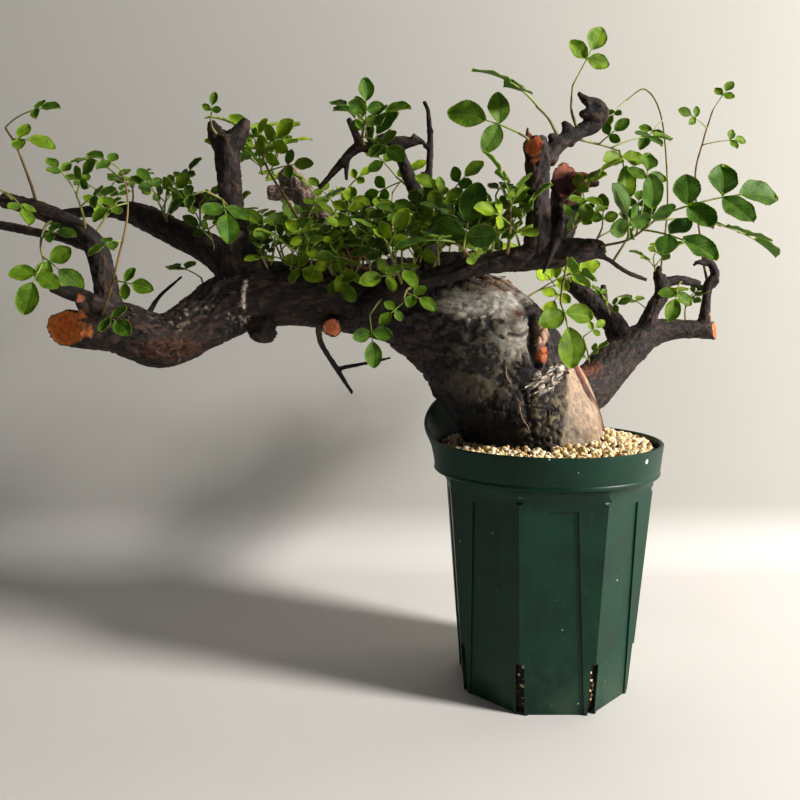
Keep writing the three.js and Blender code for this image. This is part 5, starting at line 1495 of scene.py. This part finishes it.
def slit_block(angle):
    half = SLIT_WIDTH / 2
    outside, inside = BODY_TOP_RADIUS + 5, BODY_BASE_RADIUS - 12
    corners = [(-half, outside), (half, outside), (half, inside), (-half, inside)]
    return [turned([(across, -out, z) for across, out in corners], angle) for z in (-1, SLIT_HEIGHT)]


def dimple(angle):
    """A shallow hollow under the band, at one corner of the body."""
    around = 2 * np.pi * np.arange(16) / 16
    rings = []
    for i in range(1, DIMPLE_RINGS):
        tilt = math.pi * i / DIMPLE_RINGS
        rings.append(turned(np.column_stack([
            3.4 * math.sin(tilt) * np.cos(around),
            1.3 * math.sin(tilt) * np.sin(around) - corner_radius(DIMPLE_Z) - 0.25,
            DIMPLE_Z - 1.5 * math.cos(tilt) + 0 * around,
        ]), angle))
    return rings


def cut_away(piece, cutter):
    boolean = piece.modifiers.new("cut", "BOOLEAN")
    boolean.operation = "DIFFERENCE"
    boolean.solver = "EXACT"
    boolean.object = cutter


def pot_piece():
    wall = WALL / math.cos(math.pi / SIDES)

    def shoulder(z):
        share = float(rise(BODY_TOP - SHOULDER, BODY_TOP - 0.4, z)) * 0.62
        corner = corner_radius(z)
        return lambda angle: body_reach(angle, corner) * (1 - share) + (corner - 0.15) * share

    def inner(z):
        return lambda angle: body_reach(angle, corner_radius(z) - wall)

    def round_at(radius):
        return lambda angle: radius + 0 * angle

    band = RIM_RADIUS - BAND_TAPER
    rings = [pot_ring(0, lambda angle: body_reach(angle, corner_radius(0)))]
    for z in (60, BODY_TOP - SHOULDER, 110, 111.2, 112.4, 113.4, BODY_TOP):
        rings.append(pot_ring(z, shoulder(z)))
    # The band, as [z, radius, share of the lip's stretch], up outside and down inside
    for z, radius, lift in (
        [BODY_TOP + 0.9, band - 1.5, 0], [BODY_TOP + 1.5, band - 0.35, 0], [BODY_TOP + LEDGE, band, 0],
        [BODY_TOP + 3.1, band - 0.05, 0], [BODY_TOP + 3.5, band - 0.28, 0], [122, band + 0.2, 0.02],
        [127, RIM_RADIUS - 0.55, 0.35], [POT_HEIGHT - 1.6, RIM_RADIUS - 0.1, 0.9],
        [POT_HEIGHT - 0.45, RIM_RADIUS, 1], [POT_HEIGHT, RIM_RADIUS - 0.45, 1],
        [POT_HEIGHT, RIM_RADIUS - WALL + 0.4, 1], [POT_HEIGHT - 0.5, RIM_RADIUS - WALL, 1],
        [126, RIM_RADIUS - BAND_TAPER / 2 - WALL, 0.3], [BODY_TOP + 2 * LEDGE, band - WALL, 0],
    ):
        rings.append(pot_ring(z, round_at(radius), lift))
    rings += [pot_ring(BODY_TOP + LEDGE, inner(BODY_TOP)), pot_ring(FLOOR, inner(FLOOR))]
    shell = lofted("pot_shell", rings)
    cutters = []
    for side in range(SIDES):
        flat = 2 * math.pi * side / SIDES
        corner = flat + math.pi / SIDES
        blocks = (side_block(flat), slit_block(corner), dimple(corner))
        cutters += [lofted("cut", block) for block in blocks]
    for cutter in cutters:
        cut_away(shell, cutter)
    soften = shell.modifiers.new("edges", "BEVEL")
    soften.width = EDGE
    soften.segments = 2
    soften.limit_method = "ANGLE"
    soften.angle_limit = math.radians(28)
    soften.harden_normals = True
    pot = with_modifiers(shell, "pot_plastic")
    for cutter in cutters:
        bpy.data.objects.remove(cutter)
    to_metres(pot)
    pot.data.materials.clear()
    pot.data.materials.append(pot_material())
    dress(pot, "pot_plastic", "pot")


def pot_material():
    paint = Paint("pot_plastic")
    place = paint.place()
    across, back, height = paint.parts(place)
    cloud = paint.noise(place, 45, 4, 0.6)
    fine = paint.noise(place, 900, 3, 0.6)
    streak = paint.noise(paint.stretched(place, (1, 1, 0.12)), 260, 4, 0.6, 0.3)
    scuff = paint.noise(paint.stretched(place, (0.35, 0.35, 1.0)), 210, 5, 0.7, 1.2)
    specks = paint.node("TexVoronoi", {"Vector": place, "Scale": 130, "Randomness": 1.0}, "Distance")
    pick = paint.noise(place, 60, 1, 0.5)
    green = paint.mix(paint.step(cloud, 0.3, 0.7), srgb(14, 52, 38), srgb(21, 64, 48))
    dust_and_reflection = paint.mix(paint.step(streak, 0.55, 0.8, 0.0, 0.08), green, srgb(96, 124, 108))
    low_dust = paint.step(height, 0.0, 0.035, 0.35, 0.0)
    low_dust = paint.sums("MULTIPLY", low_dust, paint.step(cloud, 0.35, 0.65, 0.0, 0.6))
    dust_and_reflection = paint.mix(low_dust, dust_and_reflection, srgb(110, 116, 100))
    scratch = paint.sums("MULTIPLY", paint.step(scuff, 0.66, 0.7), paint.step(fine, 0.45, 0.6, 0.0, 0.5))
    dust_and_reflection = paint.mix(scratch, dust_and_reflection, srgb(140, 170, 150))
    # Painted reflection: the inside of the raised lip is painted pale blue grey, as the sky light it
    # catches
    square = paint.sums("ADD", paint.sums("POWER", across, 2.0), paint.sums("POWER", back, 2.0))
    spread = paint.sums("SQRT", square)
    inner = paint.step(spread, 0.0572, 0.0582, 1.0, 0.0)
    raised = paint.step(across, -0.02, -0.005, 1.0, 0.0)
    raised = paint.sums("MULTIPLY", paint.step(height, 0.128, 0.134), raised)
    dust_and_reflection = paint.mix(paint.sums("MULTIPLY", raised, inner), dust_and_reflection, srgb(84, 122, 128))
    drop = paint.node("VectorMath", {0: place, 1: WHITE_DROP}, "Value", operation="DISTANCE")
    dust_and_reflection = paint.mix(paint.step(drop, 0.0011, 0.0014, 1.0, 0.0), dust_and_reflection, srgb(226, 232, 222))
    dots = paint.sums("MULTIPLY", paint.step(specks, 0.05, 0.075, 1.0, 0.0), paint.step(pick, 0.52, 0.56))
    colour = paint.mix(paint.sums("MULTIPLY", dots, 0.8), dust_and_reflection, srgb(214, 220, 208))
    roughness = paint.sums("ADD", paint.step(cloud, 0.2, 0.8, 0.36, 0.5), paint.sums("MULTIPLY", dots, 0.3))
    relief = paint.sums("MULTIPLY_ADD", dots, 2.0, fine)
    paint.shader.inputs["Specular IOR Level"].default_value = 0.32
    return paint.finish(colour, roughness, relief, 0.00006, 0.5)


# Gravel: small rounded stones, heaped up towards the trunk and highest on the right

GRAVEL_LEVEL = 129
GRAVEL_HEAP = 4
TRUNK_CLEAR = 26
GRAVEL_EDGE = RIM_RADIUS - BAND_TAPER - WALL - 0.7
GRAVEL_GAP = 0.35
GRAVEL_SIDES = 96
GRAINS = 1400
GRAINS_FROM = 27.0
SOIL_GRAINS = 90


def gravel_height(radius, angle):
    heap = GRAVEL_HEAP * (1 - (radius - TRUNK_CLEAR) / (GRAVEL_EDGE - TRUNK_CLEAR))
    right = np.clip(np.cos(angle - math.radians(105)), 0, 1) ** 1.5
    inward = np.clip((GRAVEL_EDGE - radius) / (GRAVEL_EDGE - TRUNK_CLEAR), 0, 1)
    return GRAVEL_LEVEL + heap + right * (1.2 + 3.2 * inward) - 1.0


def pebble():
    """A unit ball of even triangles."""
    form = bmesh.new()
    bmesh.ops.create_icosphere(form, subdivisions=2, radius=1)
    points = np.array([corner.co for corner in form.verts])
    faces = np.array([[corner.index for corner in face.verts] for face in form.faces])
    form.free()
    return points, faces


def turns(first, second, third):
    """Rotation matrices for three arrays of angles."""
    def about(axis, angle):
        matrix = np.zeros((len(angle), 3, 3))
        a, b = [(1, 2), (2, 0), (0, 1)][axis]
        matrix[:, axis, axis] = 1
        matrix[:, a, a] = matrix[:, b, b] = np.cos(angle)
        matrix[:, a, b] = -np.sin(angle)
        matrix[:, b, a] = np.sin(angle)
        return matrix
    return about(0, first) @ about(1, second) @ about(2, third)


def add_grains(pile, centres, sizes, seed, tones):
    ball, faces = pebble()
    count = len(centres)
    picks = picks_for(count, 3, seed, seed)
    more = picks_for(count, 8, seed, seed)
    stretch = np.column_stack([np.ones(count), 0.72 + 0.28 * picks[:, 0], 0.58 + 0.3 * picks[:, 1]])
    places = ball[None] * 1.7 + 31 * more[:, None, :] + np.arange(count)[:, None, None] * 7.3
    dents = noise(places.reshape(-1, 3), seed).reshape(count, -1)
    shapes = ball[None] * (1 + 0.28 * dents[..., None]) * stretch[:, None] * (sizes / 2)[:, None, None]
    shapes = shapes @ turns(*(2 * np.pi * more.T)) + centres[:, None]
    index = faces[None] + (np.arange(count) * len(ball))[:, None, None]
    pile.add(shapes.reshape(-1, 3), [index.reshape(-1, 3)], 0, tone=np.repeat(tones, len(ball)))


def gravel_piece():
    wall = WALL / math.cos(math.pi / SIDES) + GRAVEL_GAP
    angle = 2 * np.pi * np.arange(GRAVEL_SIDES) / GRAVEL_SIDES

    def body(z):
        return lambda turn: body_reach(turn, corner_radius(z) - wall)

    def edge(turn):
        return GRAVEL_EDGE + 0 * turn

    def on_heap(radius, turn, lift):
        height = gravel_height(radius, turn) + lift
        return np.column_stack([radius * np.sin(turn), -radius * np.cos(turn), height])

    walls = ((FLOOR + GRAVEL_GAP, body(FLOOR)), (BODY_TOP + LEDGE + GRAVEL_GAP, body(BODY_TOP)),
             (BODY_TOP + 3 * LEDGE, edge), (GRAVEL_LEVEL - 3, edge))
    levels = [pot_ring(z, reach, count=GRAVEL_SIDES) for z, reach in walls]
    levels += [on_heap(radius, angle, -0.9) for radius in np.linspace(GRAVEL_EDGE - 0.6, TRUNK_CLEAR, 7)]
    pile = Pile()
    pile.add(*closed_rings(levels), 1, tone=0.3)

    picks = picks_for(GRAINS, 1, 2, 5)
    more = picks_for(GRAINS, 4, 6, 9)
    sizes = 2.1 + 2.4 * picks[:, 0] ** 2.0
    outer = GRAVEL_EDGE - sizes / 2 - 0.2
    radius = np.sqrt(GRAINS_FROM**2 + (outer**2 - GRAINS_FROM**2) * picks[:, 1])
    centres = on_heap(radius, 2 * np.pi * picks[:, 2], (more[:, 0] - 0.35) * 1.3)
    add_grains(pile, centres, sizes, 5, more[:, 1])

    # Crumbs that show in the corner slits
    picks = picks_for(SOIL_GRAINS, 2, 7, 15)
    corner = (np.arange(SOIL_GRAINS) % SIDES + 0.5) * 2 * math.pi / SIDES
    z = 4 + 22 * picks[:, 0]
    out = corner_radius(z) - wall / math.cos(math.pi / SIDES) - 0.9
    aside = (picks[:, 1] - 0.5) * 3
    centres = np.column_stack([aside * np.cos(corner) + out * np.sin(corner),
                               aside * np.sin(corner) - out * np.cos(corner), z])
    add_grains(pile, centres, 1.4 + 1.6 * picks[:, 2], 16, picks[:, 0] * 0.9)
    dress(pile.piece("gravel_stones", [gravel_material(), soil_material()]), "gravel", "gravel")


def gravel_material():
    paint = Paint("gravel")
    place = paint.place()
    tone = paint.value("tone")
    pores = paint.noise(place, 1300, 4, 0.65)
    cloud = paint.noise(place, 420, 3, 0.55)
    stops = [
        (0.0, srgb(146, 108, 70)), (0.12, srgb(206, 172, 120)), (0.35, srgb(236, 210, 160)),
        (0.62, srgb(248, 228, 186)), (0.85, srgb(250, 238, 208)), (1.0, srgb(248, 244, 234)),
    ]
    colour = paint.mix(paint.step(cloud, 0.4, 0.75, 0.0, 0.25), paint.ramp(tone, stops), srgb(176, 136, 88))
    colour = paint.mix(paint.step(pores, 0.28, 0.4, 0.35, 0.0), colour, srgb(112, 80, 52))
    height = paint.sums("MULTIPLY_ADD", cloud, 0.8, pores)
    return paint.finish(colour, paint.step(pores, 0.2, 0.8, 0.75, 0.95), height, 0.0003, 0.8)


def soil_material():
    paint = Paint("soil", 0.95)
    place = paint.place()
    crumb = paint.noise(place, 500, 5, 0.7)
    bits = paint.cracks(place, 420)
    colour = paint.mix(paint.step(crumb, 0.3, 0.75), srgb(26, 20, 16), srgb(70, 54, 40))
    colour = paint.mix(paint.step(bits, 0.0, 0.12, 0.7, 0.0), colour, srgb(14, 11, 9))
    return paint.finish(colour, None, crumb, 0.0008, 1.0)


# Stage: a pale bench that turns up into a plain wall, soft daylight from the right

def stage_material():
    paint = Paint("stage", 0.75)
    height = paint.parts(paint.place())[2]
    colour = paint.mix(paint.step(height, 0.004, 0.05), srgb(221, 217, 213), srgb(190, 188, 182))
    soft = paint.noise(paint.place(), 9, 2)
    colour = paint.mix(paint.step(soft, 0.3, 0.7, 0.0, 0.12), colour, srgb(200, 196, 190))
    # The wall is clear from behind, so that the back of the tree can be seen
    behind = paint.node("NewGeometry", {}, "Backfacing")
    paint.put(paint.shader.inputs["Alpha"], paint.sums("SUBTRACT", 1.0, behind))
    return paint.finish(colour)


STAGE_FRONT = -2400
STAGE_SIDE = 2600
STAGE_TOP = 1800
BEND_FROM = 165
BEND = 45
BEND_STEPS = 12


def stage_piece():
    profile = [(STAGE_FRONT, 0), (BEND_FROM, 0)]
    for i in range(1, BEND_STEPS + 1):
        angle = math.pi / 2 * i / BEND_STEPS
        profile.append((BEND_FROM + BEND * math.sin(angle), BEND * (1 - math.cos(angle))))
    profile.append((BEND_FROM + BEND, STAGE_TOP))
    points = [(side, y, z) for y, z in profile for side in (-STAGE_SIDE, STAGE_SIDE)]
    quads = [(2 * i, 2 * i + 1, 2 * i + 3, 2 * i + 2) for i in range(len(profile) - 1)]
    piece = mesh_object("stage_backdrop", points, [quads])
    piece.data.materials.append(stage_material())


# Lights: name, place, target, width, power and colour
LIGHTS = [
    ("window", (1.54, -0.66, 0.93), (-0.05, 0, 0.16), 0.4, 58, (1.0, 0.975, 0.945)),
    ("sky", (0.1, -0.3, 1.7), (-0.05, 0, 0.1), 1.4, 1.2, (0.94, 0.97, 1.0)),
]
ROOM_COLOUR = (0.86, 0.9, 0.95, 1)
ROOM_LIGHT = 0.052

# Camera, as fitted to the pot's rim and base
SENSOR = 36
FOCAL_SHARE = 783 / 800
CAMERA_PLACE = (-0.077, -0.411, 0.197)
CAMERA_TILT = math.radians(83.8)


def area_light(name, place, target, size, power, colour):
    light = bpy.data.lights.new(name, "AREA")
    light.shape = "DISK"
    light.size = size
    light.energy = power
    light.color = colour
    made = bpy.data.objects.new(name, light)
    made.location = place
    made.rotation_euler = (Vector(target) - Vector(place)).to_track_quat("-Z", "Y").to_euler()
    bpy.context.scene.collection.objects.link(made)


def lights():
    for row in LIGHTS:
        area_light(*row)
    world = bpy.data.worlds.new("room")
    world.use_nodes = True
    background = world.node_tree.nodes["Background"]
    background.inputs[0].default_value = ROOM_COLOUR
    background.inputs[1].default_value = ROOM_LIGHT
    bpy.context.scene.world = world


def camera():
    data = bpy.data.cameras.new("camera")
    data.sensor_width = SENSOR
    data.lens = FOCAL_SHARE * SENSOR
    data.clip_start = 0.01
    data.clip_end = 20
    made = bpy.data.objects.new("camera", data)
    made.location = CAMERA_PLACE
    made.rotation_euler = (CAMERA_TILT, 0, 0)
    bpy.context.scene.collection.objects.link(made)
    bpy.context.scene.camera = made


# The whole scene

camera()
lights()
stage_piece()
pot_piece()
gravel_piece()
wood_piece()
leaf_paints = [leaf_material(), stalk_material()]
for number, shoot in enumerate(SHOOTS):
    shoot_piece(number, *shoot, leaf_paints)
twig_pieces(leaf_paints)
lone_leaves(leaf_paints)

view = bpy.context.scene.view_settings
view.view_transform = "Standard"
view.exposure = 0.1
view.gamma = 0.88
bpy.context.view_layer.update()
